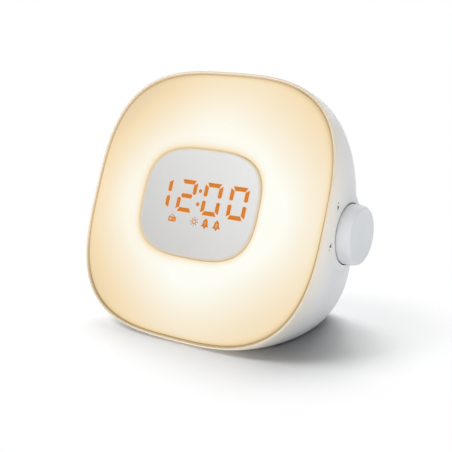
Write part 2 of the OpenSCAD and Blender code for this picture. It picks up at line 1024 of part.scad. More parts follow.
module rear_panel() {
  color(white)
    difference() {
      union() {
        at_panel()
          rounded_plate(panel_w, panel_h, panel_corner, panel_recess, panel_t);
        at_panel()
          for (x = post_places)
            translate([x, button_up, 0])
              rod(post_r, panel_in - eps, button_board_z - panel_in + eps);
        at_cell()
          translate([0, cover_ear_y, 0])
            rod(cover_post_r, panel_in - eps, cover_post_len);
      }
      at_speaker() grille();
      for (i = [0 : button_count - 1])
        at_button(i) button_hole();
      at_panel_screws() {
        rod(screw_r + 0.3, panel_recess - 1, panel_t + 2);
        rod(screw_head_r + 0.3, panel_recess - 1, counterbore + 1);
      }
      at_cell() {
        cover_shape(cover_gap, panel_recess - 1, cover_t + 1);
        rod(cup_r, panel_recess, panel_t + 1);
        translate([0, cover_ear_y, 0])
          rod(small_screw_r, panel_recess, panel_t + 3);
      }
      at_socket() rod(nose_r + 0.1, panel_recess - 1, panel_t + 2);
      at_panel()
        for (x = post_places)
          translate([x, button_up, 0])
            rod(post_screw_r, panel_in + 0.5, button_board_z);
    }
}

module panel_screws() {
  color(metal)
    at_panel_screws()
      translate([0, 0, panel_recess + counterbore])
        mirror([0, 0, 1])
          screw(screw_r, screw_head_r, counterbore - 0.2, panel_screw_len);
}

// ---------------------------------------------------------------- speaker

module speaker_gasket() {
  color(dark)
    at_speaker()
      difference() {
        rod(speaker_r, panel_in, gasket_t);
        rod(cone_r, panel_in - 1, gasket_t + 2);
        for (a = [45 : 90 : 315])
          rotate([0, 0, a])
            translate([speaker_screw_at, 0, 0])
              rod(small_screw_r, panel_in - 1, gasket_t + 2);
      }
}

module speaker_frame() {
  color(metal)
    difference() {
      at_speaker()
        rotate_extrude()
          polygon([
            [cone_r, speaker_front], [speaker_r, speaker_front],
            [speaker_r, speaker_front + frame_t], [cone_r + 1.5, speaker_front + frame_t],
            [magnet_r - 1, magnet_z], [coil_r + 1, magnet_z], [coil_r + 1, magnet_z - frame_t],
            [magnet_r - 2.6, magnet_z - frame_t], [cone_r, speaker_front + frame_t]
          ]);
      at_speaker_screws() rod(small_screw_r, speaker_front - 1, frame_t + 2);
    }
}

module speaker_magnet() {
  color(dark)
    at_speaker()
      rod(magnet_r, magnet_z, magnet_t);
}

module speaker_cone() {
  color(dark)
    at_speaker()
      rotate_extrude()
        polygon([
          [0, magnet_z - 4.6], [coil_r, magnet_z - 3.8], [cone_r, speaker_front],
          [cone_r, speaker_front + 0.6], [coil_r, magnet_z - 2.8], [coil_r, magnet_z],
          [coil_r - 1, magnet_z], [coil_r - 1, magnet_z - 2.6], [0, magnet_z - 3.4]
        ]);
}

module speaker_screws() {
  color(metal)
    at_speaker_screws()
      translate([0, 0, speaker_front + frame_t])
        screw(small_screw_r, small_screw_head_r, small_screw_head_t, frame_t + gasket_t);
}

// ---------------------------------------------------------------- buttons

module button_board() {
  color(board_green)
    at_panel()
      difference() {
        translate([0, button_up, 0])
          box(button_board_w, button_board_h, button_board_z, board_t);
        for (x = post_places)
          translate([x, button_up, 0])
            rod(post_screw_r, button_board_z - 1, board_t + 2);
      }
}

module button_board_screws() {
  color(metal)
    at_panel()
      for (x = post_places)
        translate([x, button_up, button_board_z + board_t])
          screw(post_screw_r, post_screw_head_r, 1, board_t + post_screw_bite);
}

module button_switches() {
  color(dark)
    for (i = [0 : button_count - 1])
      at_button(i) {
        box(switch_w, switch_w, button_board_z - switch_t, switch_t);
        rod(switch_plunger_r, button_board_z - switch_t - switch_plunger_t, switch_plunger_t + eps);
      }
}

// Key in its hole, with the flange behind the panel that stops it and the stem to its switch
module button(i) {
  color(pale_grey)
    at_button(i) {
      rounded_plate(
        button_w, button_h, button_corner, panel_recess - button_proud,
        panel_t + button_proud + eps
      );
      rounded_plate(
        button_w + 2 * button_flange, button_h + 2 * button_flange,
        button_corner + button_flange, panel_in, 0.8
      );
      rod(button_stem_r, panel_in, button_stem_end - panel_in);
    }
}

module button_radio() { button(0); }
module button_light() { button(1); }
module button_alarm_one() { button(2); }
module button_alarm_two() { button(3); }
module button_clock() { button(4); }
module button_sound() { button(5); }

// ---------------------------------------------------------------- power

module power_socket() {
  color(dark)
    at_socket()
      difference() {
        union() {
          box(socket_w, socket_h, panel_in, socket_len);
          rod(nose_r, panel_recess, panel_t + eps);
        }
        rod(socket_r, panel_recess - 1, socket_depth + 1);
        rod(socket_pin_r, panel_recess, socket_depth + 2);
      }
}

module power_pin() {
  color(metal)
    at_socket()
      rod(socket_pin_r, panel_recess + 1.2, socket_depth + 0.8);
}

module cell_cover() {
  color(white)
    at_cell()
      difference() {
        cover_shape(0, panel_recess, cover_t);
        translate([0, cover_ear_y, 0]) {
          rod(small_screw_r + 0.1, panel_recess - 1, cover_t + 2);
          rod(small_screw_head_r + 0.3, panel_recess - 1, 2);
        }
      }
}

module cell_cover_screw() {
  color(metal)
    at_cell()
      translate([0, cover_ear_y, panel_recess + 1])
        mirror([0, 0, 1])
          screw(small_screw_r, small_screw_head_r, small_screw_head_t, cover_screw_len);
}

module cell_holder() {
  color(dark)
    at_cell()
      difference() {
        rod(cup_r + cup_wall, panel_in, cup_floor_z + cup_floor_t - panel_in);
        rod(cup_r, panel_in - 1, cup_floor_z - panel_in + 1);
        translate([0, cover_ear_y, 0])
          rod(cover_post_r + 0.2, panel_in - 1, cover_post_len + 2);
      }
}

module backup_cell() {
  color(metal)
    at_cell()
      rod(cell_r, cell_z, cell_t);
}

module cell_spring() {
  color(metal)
    at_cell() {
      box(1.6 * cell_r, 4, cup_floor_z - spring_t, spring_t);
      rod(2, cell_z + cell_t, spring_rise + spring_t / 2);
    }
}

// ---------------------------------------------------------------- assembly

rear_shell();
base_pad();
light_diffuser();
display_window();
display_housing();
display_module();
display_segments();
display_icons();
display_board();
reflector_tray();
tray_screws();
light_board();
light_lamps();
light_board_screws();
main_board();
main_board_screws();
control_chip();
radio_tuner();
capacitors();
display_cable();
light_cable();
knob();
encoder_shaft();
encoder_plunger();
encoder_body();
encoder_bush();
encoder_washer();
encoder_nut();
encoder_board();
rear_panel();
panel_screws();
speaker_gasket();
speaker_frame();
speaker_magnet();
speaker_cone();
speaker_screws();
button_board();
button_board_screws();
button_switches();
button_radio();
button_light();
button_alarm_one();
button_alarm_two();
button_clock();
button_sound();
power_socket();
power_pin();
cell_cover();
cell_cover_screw();
backup_cell();
cell_holder();
cell_spring();
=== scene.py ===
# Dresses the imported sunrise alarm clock: a smooth moulded housing, a glowing face, a lit
# display, the knob and the back. Metres, +Z up. The face looks towards -Y and leans back,
# the knob is on +X and the clock stands on z = 0.
import json
import math

import bmesh
import bpy
from mathutils import Matrix, Vector

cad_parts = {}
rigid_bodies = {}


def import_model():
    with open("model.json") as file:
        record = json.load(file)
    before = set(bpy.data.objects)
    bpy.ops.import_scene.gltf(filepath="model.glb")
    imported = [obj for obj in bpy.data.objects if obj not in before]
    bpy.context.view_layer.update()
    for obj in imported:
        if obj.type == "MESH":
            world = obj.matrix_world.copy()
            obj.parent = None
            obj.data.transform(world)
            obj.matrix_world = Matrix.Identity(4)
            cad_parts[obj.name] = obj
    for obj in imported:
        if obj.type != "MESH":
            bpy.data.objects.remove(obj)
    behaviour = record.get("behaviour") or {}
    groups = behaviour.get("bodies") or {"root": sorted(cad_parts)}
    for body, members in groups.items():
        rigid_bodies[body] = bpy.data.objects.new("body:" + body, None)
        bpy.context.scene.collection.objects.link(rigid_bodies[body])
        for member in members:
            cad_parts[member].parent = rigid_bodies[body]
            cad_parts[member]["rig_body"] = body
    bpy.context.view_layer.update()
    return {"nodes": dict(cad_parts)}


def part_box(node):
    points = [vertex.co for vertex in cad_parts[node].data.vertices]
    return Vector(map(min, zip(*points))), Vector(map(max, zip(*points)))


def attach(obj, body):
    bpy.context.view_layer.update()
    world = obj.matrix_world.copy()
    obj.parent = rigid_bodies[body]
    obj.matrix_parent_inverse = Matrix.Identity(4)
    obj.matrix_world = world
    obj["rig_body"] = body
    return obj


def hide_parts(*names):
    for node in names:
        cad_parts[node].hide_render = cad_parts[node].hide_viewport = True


MM = 0.001
FULL_TURN = 2 * math.pi

# Face and housing, in millimetres, as the moulds give them
SQUARENESS = 3.08
LEAN = math.radians(23)
RIM = 92.6  # half width and half height of the rim
WALL = 2.4
LIP = 1.2
BAND = 6.6
BOWL_DEPTH = 76.5
SIDE_TAPER, TOP_TAPER, BOTTOM_TAPER = 26, 51, 30
RISE = 8.3
BACK_TILT = math.radians(2.3)
SETBACK = 24
BASE_Z = 1.0
RIM_LIFT = 1.4
FLOOR_T = 3.6
FACE_UP = BASE_Z + RIM_LIFT + RIM * math.cos(LEAN)
DIFFUSER = 90.0
DOME = 4.6
SKIRT = 4.0
WINDOW_W, WINDOW_H = 45.7, 37.0
WINDOW_SEAT, WINDOW_PROUD, WINDOW_CROWN = 3.0, 5.0, 0.45
WINDOW_GAP = 0.4
SKIN_SEGMENTS = 288
FACE_SEGMENTS = 256

# Knob and its boss, as distances from the clock's middle plane
BOSS_X = 92.975
RECESS_X = 91.375
RECESS_R = 20.55
BOSS_R = 22.6
BOSS_FLARE = 12
BOSS_SHOULDER = 0.09
BUSH_HOLE_R = 4.1

# Rear panel
PANEL_DROP = 8
PANEL_OPENING_W, PANEL_OPENING_H, PANEL_OPENING_CORNER = 112.6, 76.6, 14.3
PANEL_IN = 3.0
LEDGE = 4.3
LEDGE_T = 2.2
PANEL_SCREW_X, PANEL_SCREW_UP, PANEL_SCREW_SEAT = 48.93, 30.93, 2.0
CELL_X, CELL_UP, CELL_SCREW_DROP, CELL_SCREW_SEAT = 20, -3, 14.4, 1.6
KEYS = ("radio", "light", "alarm_one", "alarm_two", "clock", "sound")

# Base pad
PAD_CORNER, PAD_CLEARANCE = 12, 0.2

# Display
DIGIT_W, DIGIT_H, DIGIT_PITCH, DIGIT_UP = 11.2, 19.2, 20.1, 3.8
BAR_W = 2.85
MITRE_OUT, MITRE_IN = 1.5, 0.3  # gaps at the outer and inner corners between two bars
WAIST, TIP = 1.3, 0.7  # from a digit's middle line to the upright bars, and their points
COLON_R, COLON_SPREAD = 1.3, 4.5
SYMBOLS_DOWN = 12.5
SYMBOL_SIZE = 1.18
RADIO_X, SUN_X, BELL_ONE_X, BELL_TWO_X = -17.8, 0.1, 8.9, 17.8
LIT_PROUD = 0.03


# ---------------------------------------------------------------- places

FACE_CENTRE = Vector((0, -SETBACK, FACE_UP))
FACE_UPWARD = Vector((0, math.sin(LEAN), math.cos(LEAN)))
FACE_OUT = Vector((0, -math.cos(LEAN), math.sin(LEAN)))
BACK_CENTRE = FACE_CENTRE - (BAND + BOWL_DEPTH) * FACE_OUT + RISE * FACE_UPWARD
BACK_UPWARD = Vector((0, math.sin(BACK_TILT), math.cos(BACK_TILT)))
BACK_INWARD = Vector((0, -math.cos(BACK_TILT), math.sin(BACK_TILT)))


def on_face(x, up, out):
    """Point of the face frame, in metres: out is the distance in front of the rim's plane."""
    return MM * (FACE_CENTRE + Vector((x, 0, 0)) + up * FACE_UPWARD + out * FACE_OUT)


def on_panel(x, up, depth):
    """Point of the rear panel's frame, in metres: depth is measured into the clock."""
    up -= PANEL_DROP
    return MM * (BACK_CENTRE + Vector((x, 0, 0)) + up * BACK_UPWARD + depth * BACK_INWARD)


def squircle_k(a):
    c, s = abs(math.cos(a)), abs(math.sin(a))
    return (c**SQUARENESS + s**SQUARENESS) ** (-1 / SQUARENESS)


def squircle(w, h, a):
    """Point at angle a of a rounded square of half width w and half height h."""
    k = squircle_k(a)
    return k * w * math.cos(a), k * h * math.sin(a)


def rounded_rectangle(w, h, r, a):
    """Point at angle a of a rectangle w by h whose corners have the radius r."""
    c, s = abs(math.cos(a)), abs(math.sin(a))
    reach = min(w / 2 / max(c, 1e-9), h / 2 / max(s, 1e-9))
    corner_x, corner_y = w / 2 - r, h / 2 - r
    if reach * c > corner_x and reach * s > corner_y:
        dot = corner_x * c + corner_y * s
        reach = dot + math.sqrt(dot**2 - corner_x**2 - corner_y**2 + r**2)
    return reach * math.cos(a), reach * math.sin(a)


def smooth(t):
    """Soft step from 0 to 1."""
    t = min(1, max(0, t))
    return t * t * (3 - 2 * t)


# ---------------------------------------------------------------- mesh tools


def piece(name, bm, body, smooth_angle=35):
    """Turns a bmesh into a shaded piece that rides on a body."""
    mesh = bpy.data.meshes.new(name)
    bm.to_mesh(mesh)
    bm.free()
    obj = bpy.data.objects.new(name, mesh)
    bpy.context.scene.collection.objects.link(obj)
    shade(mesh, smooth_angle)
    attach(obj, body)
    return obj


def shade(mesh, smooth_angle):
    for polygon in mesh.polygons:
        polygon.use_smooth = True
    mesh.set_sharp_from_angle(angle=math.radians(smooth_angle))


def sleeve(rings, segments, capped):
    """A tube of unit radius with one ring of points for each step of 1 along z. It is closed
    by a fan at both ends if capped, or else its last ring is joined to its first."""
    bm = bmesh.new()
    bmesh.ops.create_circle(bm, cap_ends=capped, cap_tris=capped, radius=1, segments=segments)
    edge = [e for e in bm.edges if all(v.co.length > 0.5 for v in e.verts)]
    first = list(edge)
    for _ in range(rings - 1):
        grown = bmesh.ops.extrude_edge_only(bm, edges=edge)["geom"]
        new = [g for g in grown if isinstance(g, bmesh.types.BMVert)]
        bmesh.ops.translate(bm, verts=new, vec=(0, 0, 1))
        new = set(new)
        edge = [g for g in grown if isinstance(g, bmesh.types.BMEdge) and new.issuperset(g.verts)]
    if capped:
        top = bmesh.ops.extrude_edge_only(bm, edges=edge)["geom"]
        bmesh.ops.pointmerge(
            bm,
            verts=[g for g in top if isinstance(g, bmesh.types.BMVert)],
            merge_co=(0, 0, rings - 1),
        )
    else:
        bmesh.ops.bridge_loops(bm, edges=first + edge)
    return bm


def wrap(bm, place):
    """Lays a sleeve on place(ring, angle, reach), where reach is 0 at a cap's middle."""
    for v in bm.verts:
        ring = round(v.co.z)
        reach = min(1, math.hypot(v.co.x, v.co.y))
        v.co = place(ring, math.atan2(v.co.y, v.co.x), reach)
    bmesh.ops.recalc_face_normals(bm, faces=bm.faces)


def spun(profile, segments):
    """A closed turning: the profile is a list of (radius, height) from axis to axis."""
    bm = bmesh.new()
    points = [bm.verts.new((r, 0, z)) for r, z in profile]
    edges = [bm.edges.new(pair) for pair in zip(points, points[1:])]
    bmesh.ops.spin(
        bm,
        geom=points + edges,
        cent=(0, 0, 0),
        axis=(0, 0, 1),
        angle=FULL_TURN,
        steps=segments,
        use_merge=True,
    )
    bmesh.ops.remove_doubles(bm, verts=bm.verts, dist=1e-6)
    bmesh.ops.recalc_face_normals(bm, faces=bm.faces)
    return bm


def arc(x, y, r, start, end, count):
    """Points of a round of radius r about (x, y), from one angle to another, in degrees."""
    turns = [math.radians(start + (end - start) * i / count) for i in range(count + 1)]
    return [(x + r * math.cos(t), y + r * math.sin(t)) for t in turns]


def cut(obj, *cutters):
    """Takes the cutters' solids out of a piece for good."""
    for cutter in cutters:
        modifier = obj.modifiers.new("cut", "BOOLEAN")
        modifier.operation = "DIFFERENCE"
        modifier.solver = "EXACT"
        modifier.object = cutter
    bpy.context.view_layer.update()
    result = obj.evaluated_get(bpy.context.evaluated_depsgraph_get())
    mesh = bpy.data.meshes.new_from_object(result)
    obj.modifiers.clear()
    obj.data = mesh
    for cutter in cutters:
        bpy.data.objects.remove(cutter)


def cutter(bm):
    mesh = bpy.data.meshes.new("cutter")
    bm.to_mesh(mesh)
    bm.free()
    obj = bpy.data.objects.new("cutter", mesh)
    bpy.context.scene.collection.objects.link(obj)
    return obj


# Faces larger than this are shaded flat, so that long thin neighbours don't streak them
FLAT_AREA = 20 * MM * MM


def softened(node, name, width, segments=2, corner=40):
    """A copy of a CAD node with its sharp edges rounded, which stands for the node."""
    bm = bmesh.new()
    bm.from_mesh(frame["nodes"][node].data)
    bmesh.ops.remove_doubles(bm, verts=bm.verts, dist=1e-6)
    bmesh.ops.dissolve_limit(bm, angle_limit=math.radians(1), verts=bm.verts, edges=bm.edges)
    sharp = [
        e for e in bm.edges
        if len(e.link_faces) == 2 and e.calc_face_angle() > math.radians(corner)
    ]
    bmesh.ops.bevel(
        bm, geom=sharp, offset=width * MM, offset_type="OFFSET", segments=segments,
        profile=0.5, affect="EDGES", clamp_overlap=True, material=-1,
    )
    obj = piece(name, bm, frame["nodes"][node]["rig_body"])
    for polygon in obj.data.polygons:
        polygon.use_smooth = polygon.area < FLAT_AREA
    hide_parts(node)
    return obj


# ---------------------------------------------------------------- materials


def srgb(r, g, b):
    """Linear colour of an sRGB colour given in steps of 255."""
    values = [c / 255 for c in (r, g, b)]
    return tuple(c / 12.92 if c <= 0.04045 else ((c + 0.055) / 1.055) ** 2.4 for c in values) + (1,)


def tints(stops):
    """Stops of a ramp from pairs of position and colour in steps of 255."""
    return [(position, srgb(*colour)) for position, colour in stops]


def grey(value):
    return (value, value, value, 1)


class Finish:
    """A material with a Principled shader and short calls for the nodes that feed it."""

    def __init__(self, name, roughness=0.5, **sockets):
        self.material = bpy.data.materials.new(name)
        self.material.use_nodes = True
        self.tree = self.material.node_tree
        self.shader = self.tree.nodes["Principled BSDF"]
        self.set("Roughness", roughness)
        for socket, value in sockets.items():
            self.set(socket.replace("_", " "), value)

    def set(self, socket, value):
        self.shader.inputs[socket].default_value = value

    def node(self, kind, **settings):
        made = self.tree.nodes.new("ShaderNode" + kind)
        for key, value in settings.items():
            setattr(made, key, value)
        return made

    def link(self, source, target):
        self.tree.links.new(source, target)

    def place(self):
        return self.node("TexCoord").outputs["Object"]

    def noise(self, scale, detail=2.0, stretch=None):
        texture = self.node("TexNoise")
        texture.inputs["Scale"].default_value = scale
        texture.inputs["Detail"].default_value = detail
        source = self.place()
        if stretch:
            mapping = self.node("Mapping")
            mapping.inputs["Scale"].default_value = stretch
            self.link(source, mapping.inputs["Vector"])
            source = mapping.outputs["Vector"]
        self.link(source, texture.inputs["Vector"])
        return texture.outputs["Fac"]

    def attribute(self, name):
        return self.node("Attribute", attribute_name=name).outputs["Fac"]

    def ramp(self, source, stops):
        made = self.node("ValToRGB")
        elements = made.color_ramp.elements
        elements[0].position, elements[0].color = stops[0]
        elements[1].position, elements[1].color = stops[-1]
        for position, colour in stops[1:-1]:
            elements.new(position).color = colour
        self.link(source, made.inputs["Fac"])
        return made.outputs["Color"]

    def mix(self, factor, first, second):
        made = self.node("Mix", data_type="RGBA")
        for value, socket in ((factor, 0), (first, 6), (second, 7)):
            if isinstance(value, (tuple, float)):
                made.inputs[socket].default_value = value
            else:
                self.link(value, made.inputs[socket])
        return made.outputs[2]

    def feed(self, socket, source):
        self.link(source, self.shader.inputs[socket])

    def bump(self, source, strength, distance):
        made = self.node("Bump")
        made.inputs["Strength"].default_value = strength
        made.inputs["Distance"].default_value = distance
        self.link(source, made.inputs["Height"])
        self.feed("Normal", made.outputs["Normal"])

    def mottle(self, scale, first, second, detail=2):
        """A colour that drifts softly between two."""
        return self.ramp(self.noise(scale, detail), [(0.3, first), (0.7, second)])

    def wear(self, low, high, scale=60):
        """Roughness that drifts softly between two values."""
        self.feed("Roughness", self.mottle(scale, grey(low), grey(high), 3))


def moulded(name, colour, low, high, grain=0.25):
    """Moulded plastic: a fine spark-eroded grain and a gloss that drifts a little."""
    finish = Finish(name)
    light = tuple(min(1, c * 1.03) for c in colour[:3]) + (1,)
    dark = tuple(c * 0.97 for c in colour[:3]) + (1,)
    finish.feed("Base Color", finish.mottle(35, dark, light))
    finish.wear(low, high)
    finish.bump(finish.noise(2600, 2), grain, 0.00004)
    return finish


def metal(name, colour, low, high):
    """Plated metal with a faint brushing."""
    finish = Finish(name, Metallic=1.0)
    light = tuple(min(1, c * 1.08) for c in colour[:3]) + (1,)
    finish.feed("Base Color", finish.ramp(finish.noise(400, 2), [(0.35, colour), (0.65, light)]))
    finish.wear(low, high, 900)
    finish.bump(finish.noise(1500, 3, (1, 1, 12)), 0.2, 0.00003)
    return finish


# Light and shade painted on the housing's rim: from a faint warm tint where the face's light spills
# to a darker painted shade on the lip's inner slope
PAINTED_SPILL_AND_SHADE_TINT = [
    (0.0, (240, 232, 216)), (0.5, (244, 230, 204)), (0.8, (214, 192, 152)), (1.0, (184, 160, 116)),
]
# Colour and strength of the glow painted into the rim, though the rim is no lamp
PAINTED_RIM_GLOW_TINT, PAINTED_RIM_GLOW_STRENGTH = (1.0, 0.88, 0.76, 1), 0.42


def housing_plastic():
    """White moulding with light and shade painted on its rim: a warm tint where the face's light
    spills, darker shade on the lip's inner slope, and a glow painted into the rim, which is no
    lamp.
    """
    finish = Finish("housing_plastic")
    body = finish.mottle(30, srgb(236, 237, 239), srgb(239, 240, 241))
    # Painted light and shade: the warm spill tint and the lip's shade, mixed in by their painted
    # share
    glow = finish.ramp(finish.attribute("painted_spill_and_shade"), tints(PAINTED_SPILL_AND_SHADE_TINT))
    share = finish.ramp(finish.attribute("painted_spill_and_shade"), [(0.0, grey(0)), (0.45, grey(1))])
    finish.feed("Base Color", finish.mix(share, body, glow))
    # Glow painted into the rim, standing in for light that reaches it
    painted_rim_glow_colour = finish.ramp(finish.attribute("painted_rim_glow"), [(0.0, grey(0)), (1.0, PAINTED_RIM_GLOW_TINT)])
    finish.feed("Emission Color", painted_rim_glow_colour)
    finish.set("Emission Strength", PAINTED_RIM_GLOW_STRENGTH)
    finish.wear(0.42, 0.5)
    finish.bump(finish.noise(900, 2), 0.05, 0.00002)
    return finish


# Warm light through opal plastic: amber where it is dim, nearly white where it is bright
FACE_GLOW = [(0.0, (160, 130, 80)), (0.5, (230, 205, 160)), (1.0, (240, 240, 230))]
FACE_REFLECTS = 0.1


def glowing_plastic():
    """Opal plastic lit from behind: brightest around the window, dimmer to the corners."""
    finish = Finish("glowing_plastic")
    finish.set("Base Color", (FACE_REFLECTS, FACE_REFLECTS * 0.97, FACE_REFLECTS * 0.9, 1))
    finish.set("Specular IOR Level", 0.3)
    finish.wear(0.5, 0.6)
    finish.bump(finish.noise(2200, 2), 0.1, 0.00003)
    finish.feed("Emission Color", finish.ramp(finish.attribute("glow"), tints(FACE_GLOW)))
    finish.set("Emission Strength", 1.0)
    return finish


def window_plastic():
    """Pale window with painted light: lighter towards the top and the knob's side, warm at its edge
    and round the lit digits, and faintly glowing.
    """
    finish = Finish("window_plastic", roughness=0.42)
    # Painted light: the window's pale grey is painted lighter towards the top and the knob's side
    shades = [(0.0, (200, 199, 198)), (0.5, (222, 221, 220)), (1.0, (240, 240, 239))]
    body = finish.ramp(finish.attribute("across"), tints(shades))
    # Warm light of the face painted on the window's edge
    with_painted_edge_light = finish.mix(finish.attribute("edge"), body, srgb(222, 206, 178))
    # Glow of the lit bars painted on the window round them
    finish.feed("Base Color", finish.mix(finish.attribute("painted_digit_glow"), with_painted_edge_light, srgb(250, 215, 178)))
    # A faint even glow painted into the window, which is no lamp
    finish.set("Emission Color", (1.0, 1.0, 0.99, 1))
    finish.set("Emission Strength", 0.05)
    finish.bump(finish.noise(1800, 2), 0.05, 0.00002)
    return finish


def lit_marks():
    finish = Finish("digit_light")
    tone = finish.mottle(500, srgb(208, 122, 36), srgb(214, 128, 44))
    finish.set("Base Color", srgb(60, 30, 8))
    finish.set("Specular IOR Level", 0.1)
    finish.feed("Emission Color", tone)
    finish.set("Emission Strength", 0.96)
    return finish


def circuit_board():
    """Green board with the faint lines of its copper tracks under the lacquer."""
    finish = Finish("circuit_board")
    tracks = finish.node("TexBrick", offset=0.5)
    tracks.inputs["Scale"].default_value = 260
    tracks.inputs["Mortar Size"].default_value = 0.03
    tracks.inputs["Color1"].default_value = srgb(24, 92, 54)
    tracks.inputs["Color2"].default_value = srgb(20, 84, 48)
    tracks.inputs["Mortar"].default_value = srgb(58, 128, 78)
    finish.link(finish.place(), tracks.inputs["Vector"])
    finish.feed("Base Color", tracks.outputs["Color"])
    finish.wear(0.3, 0.45)
    return finish


def paper():
    finish = Finish("cone_paper")
    fibres = finish.noise(900, 4)
    shades = [(0.3, (38, 38, 40)), (0.7, (62, 61, 60))]
    finish.feed("Base Color", finish.ramp(fibres, tints(shades)))
    finish.wear(0.8, 0.95)
    finish.bump(fibres, 0.4, 0.0001)
    return finish


def ribbon():
    """Flat cable: grey with the ribs of its wires."""
    finish = Finish("flat_cable")
    wires = finish.node("TexWave", wave_type="BANDS", bands_direction="X")
    wires.inputs["Scale"].default_value = 260
    finish.link(finish.place(), wires.inputs["Vector"])
    shades = [(0.2, (188, 190, 192)), (0.8, (214, 215, 216))]
    finish.feed("Base Color", finish.ramp(wires.outputs["Fac"], tints(shades)))
    finish.wear(0.4, 0.5)
    return finish


def phosphor():
    finish = Finish("lamp_phosphor")
    finish.feed("Base Color", finish.mottle(1200, srgb(248, 214, 120), srgb(252, 228, 150)))
    finish.wear(0.3, 0.4)
    return finish


# The floor turns to plain white with the distance from a point near the clock, in metres
FADE_CENTRE = (0.016, 0.012, 0)
FADE_START, FADE_END = 0.07, 0.175


def rays_that_see_white(tree):
    """One for a ray from the camera, a reflection or a clear piece, nought for the others."""
    seen = tree.nodes.new("ShaderNodeLightPath")
    total = seen.outputs["Is Camera Ray"]
    for other in ("Is Glossy Ray", "Is Transmission Ray"):
        add = tree.nodes.new("ShaderNodeMath")
        add.operation = "ADD"
        add.use_clamp = True
        tree.links.new(total, add.inputs[0])
        tree.links.new(seen.outputs[other], add.inputs[1])
        total = add.outputs["Value"]
    return total


def studio_floor():
    """White floor that keeps the clock's shadow and turns into plain white further off."""
    finish = Finish("studio_floor")
    tree = finish.tree
    tree.nodes.remove(finish.shader)
    seen = rays_that_see_white(tree)
    surface = finish.node("BsdfDiffuse")
    pale = finish.mix(seen, FLOOR_BOUNCE, FLOOR_SEEN)
    finish.link(pale, surface.inputs["Color"])
    plain = finish.node("Emission")
    distance = finish.node("VectorMath", operation="DISTANCE")
    finish.link(finish.place(), distance.inputs[0])
    distance.inputs[1].default_value = FADE_CENTRE
    far = finish.node("MapRange", interpolation_type="SMOOTHSTEP")
    far.inputs["From Min"].default_value = FADE_START
    far.inputs["From Max"].default_value = FADE_END
    finish.link(distance.outputs["Value"], far.inputs["Value"])
    shown = finish.node("Math", operation="MULTIPLY")
    finish.link(far.outputs["Result"], shown.inputs[0])
    finish.link(seen, shown.inputs[1])
    blend = finish.node("MixShader")
    finish.link(shown.outputs["Value"], blend.inputs["Fac"])
    finish.link(surface.outputs["BSDF"], blend.inputs[1])
    finish.link(plain.outputs["Emission"], blend.inputs[2])
    finish.link(blend.outputs["Shader"], tree.nodes["Material Output"].inputs["Surface"])
    return finish.material


# ---------------------------------------------------------------- housing


def rim_place(inset, depth, a):
    x, up = squircle(RIM - inset, RIM - inset, a)
    return on_face(x, up, -depth)


def bowl_place(turn, inset, a):
    """Point of the bowl where its quarter-round profile has turned by an angle."""
    g, s = math.sin(turn), 1 - math.cos(turn)
    depth = BAND + (BOWL_DEPTH - inset) * g
    tilt = LEAN - (LEAN - BACK_TILT) * g
    taper = TOP_TAPER if math.sin(a) > 0 else BOTTOM_TAPER
    x, up = squircle(RIM - inset - SIDE_TAPER * s, RIM - inset - taper * s, a)
    middle = FACE_CENTRE - depth * FACE_OUT + RISE * g * FACE_UPWARD
    return MM * (middle + Vector((x, up * math.sin(tilt), up * math.cos(tilt))))


def opening_place(grow, depth, a):
    x, up = rounded_rectangle(
        PANEL_OPENING_W + 2 * grow,
        PANEL_OPENING_H + 2 * grow,
        max(1, PANEL_OPENING_CORNER + grow),
        a,
    )
    return on_panel(x, up, depth)


def knob_axis():
    low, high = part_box("knob")
    return (low.y + high.y) / 2, (low.z + high.z) / 2


def boss_weight(distance):
    """1 on the boss's flat, falling in a hollow curve to 0 where its flare ends."""
    u = (distance - BOSS_R) / BOSS_FLARE
    u = (u + math.sqrt(u * u + BOSS_SHOULDER**2)) / 2
    return max(0, 1 - u) ** 2.2


def raise_boss(bm):
    """Draws the housing's right side out into the round boss that the knob sits in."""
    axis_y, axis_z = knob_axis()
    for v in bm.verts:
        distance = math.hypot(v.co.y - axis_y, v.co.z - axis_z) / MM
        if v.co.x > 0.7 * RIM * MM and distance < BOSS_R + BOSS_FLARE:
            v.co.x += (BOSS_X * MM - v.co.x) * boss_weight(distance)


def flatten_base(bm):
    bmesh.ops.bisect_plane(
        bm, geom=bm.verts[:] + bm.edges[:] + bm.faces[:], dist=1e-7,
        plane_co=(0, 0, BASE_Z * MM), plane_no=(0, 0, 1),
    )
    for v in bm.verts:
        v.co.z = max(v.co.z, BASE_Z * MM)


# A glow is painted into the rim, though it is no lamp, standing in for light from the face and the
# floor: strongest at its lowest point and weaker on the knob's side, as (middle, reach, strength)
# with the angles in degrees past the lowest point
PAINTED_RIM_GLOW_SPOTS = ((0, 50, 1), (87, 43, 0.3))
PAINTED_RIM_GLOW_LOWEST = -87  # degrees round the face


def painted_rim_glow_round(angle):
    return max(
        strength * smooth(1 - abs(angle - middle) / reach)
        for middle, reach, strength in PAINTED_RIM_GLOW_SPOTS
    )


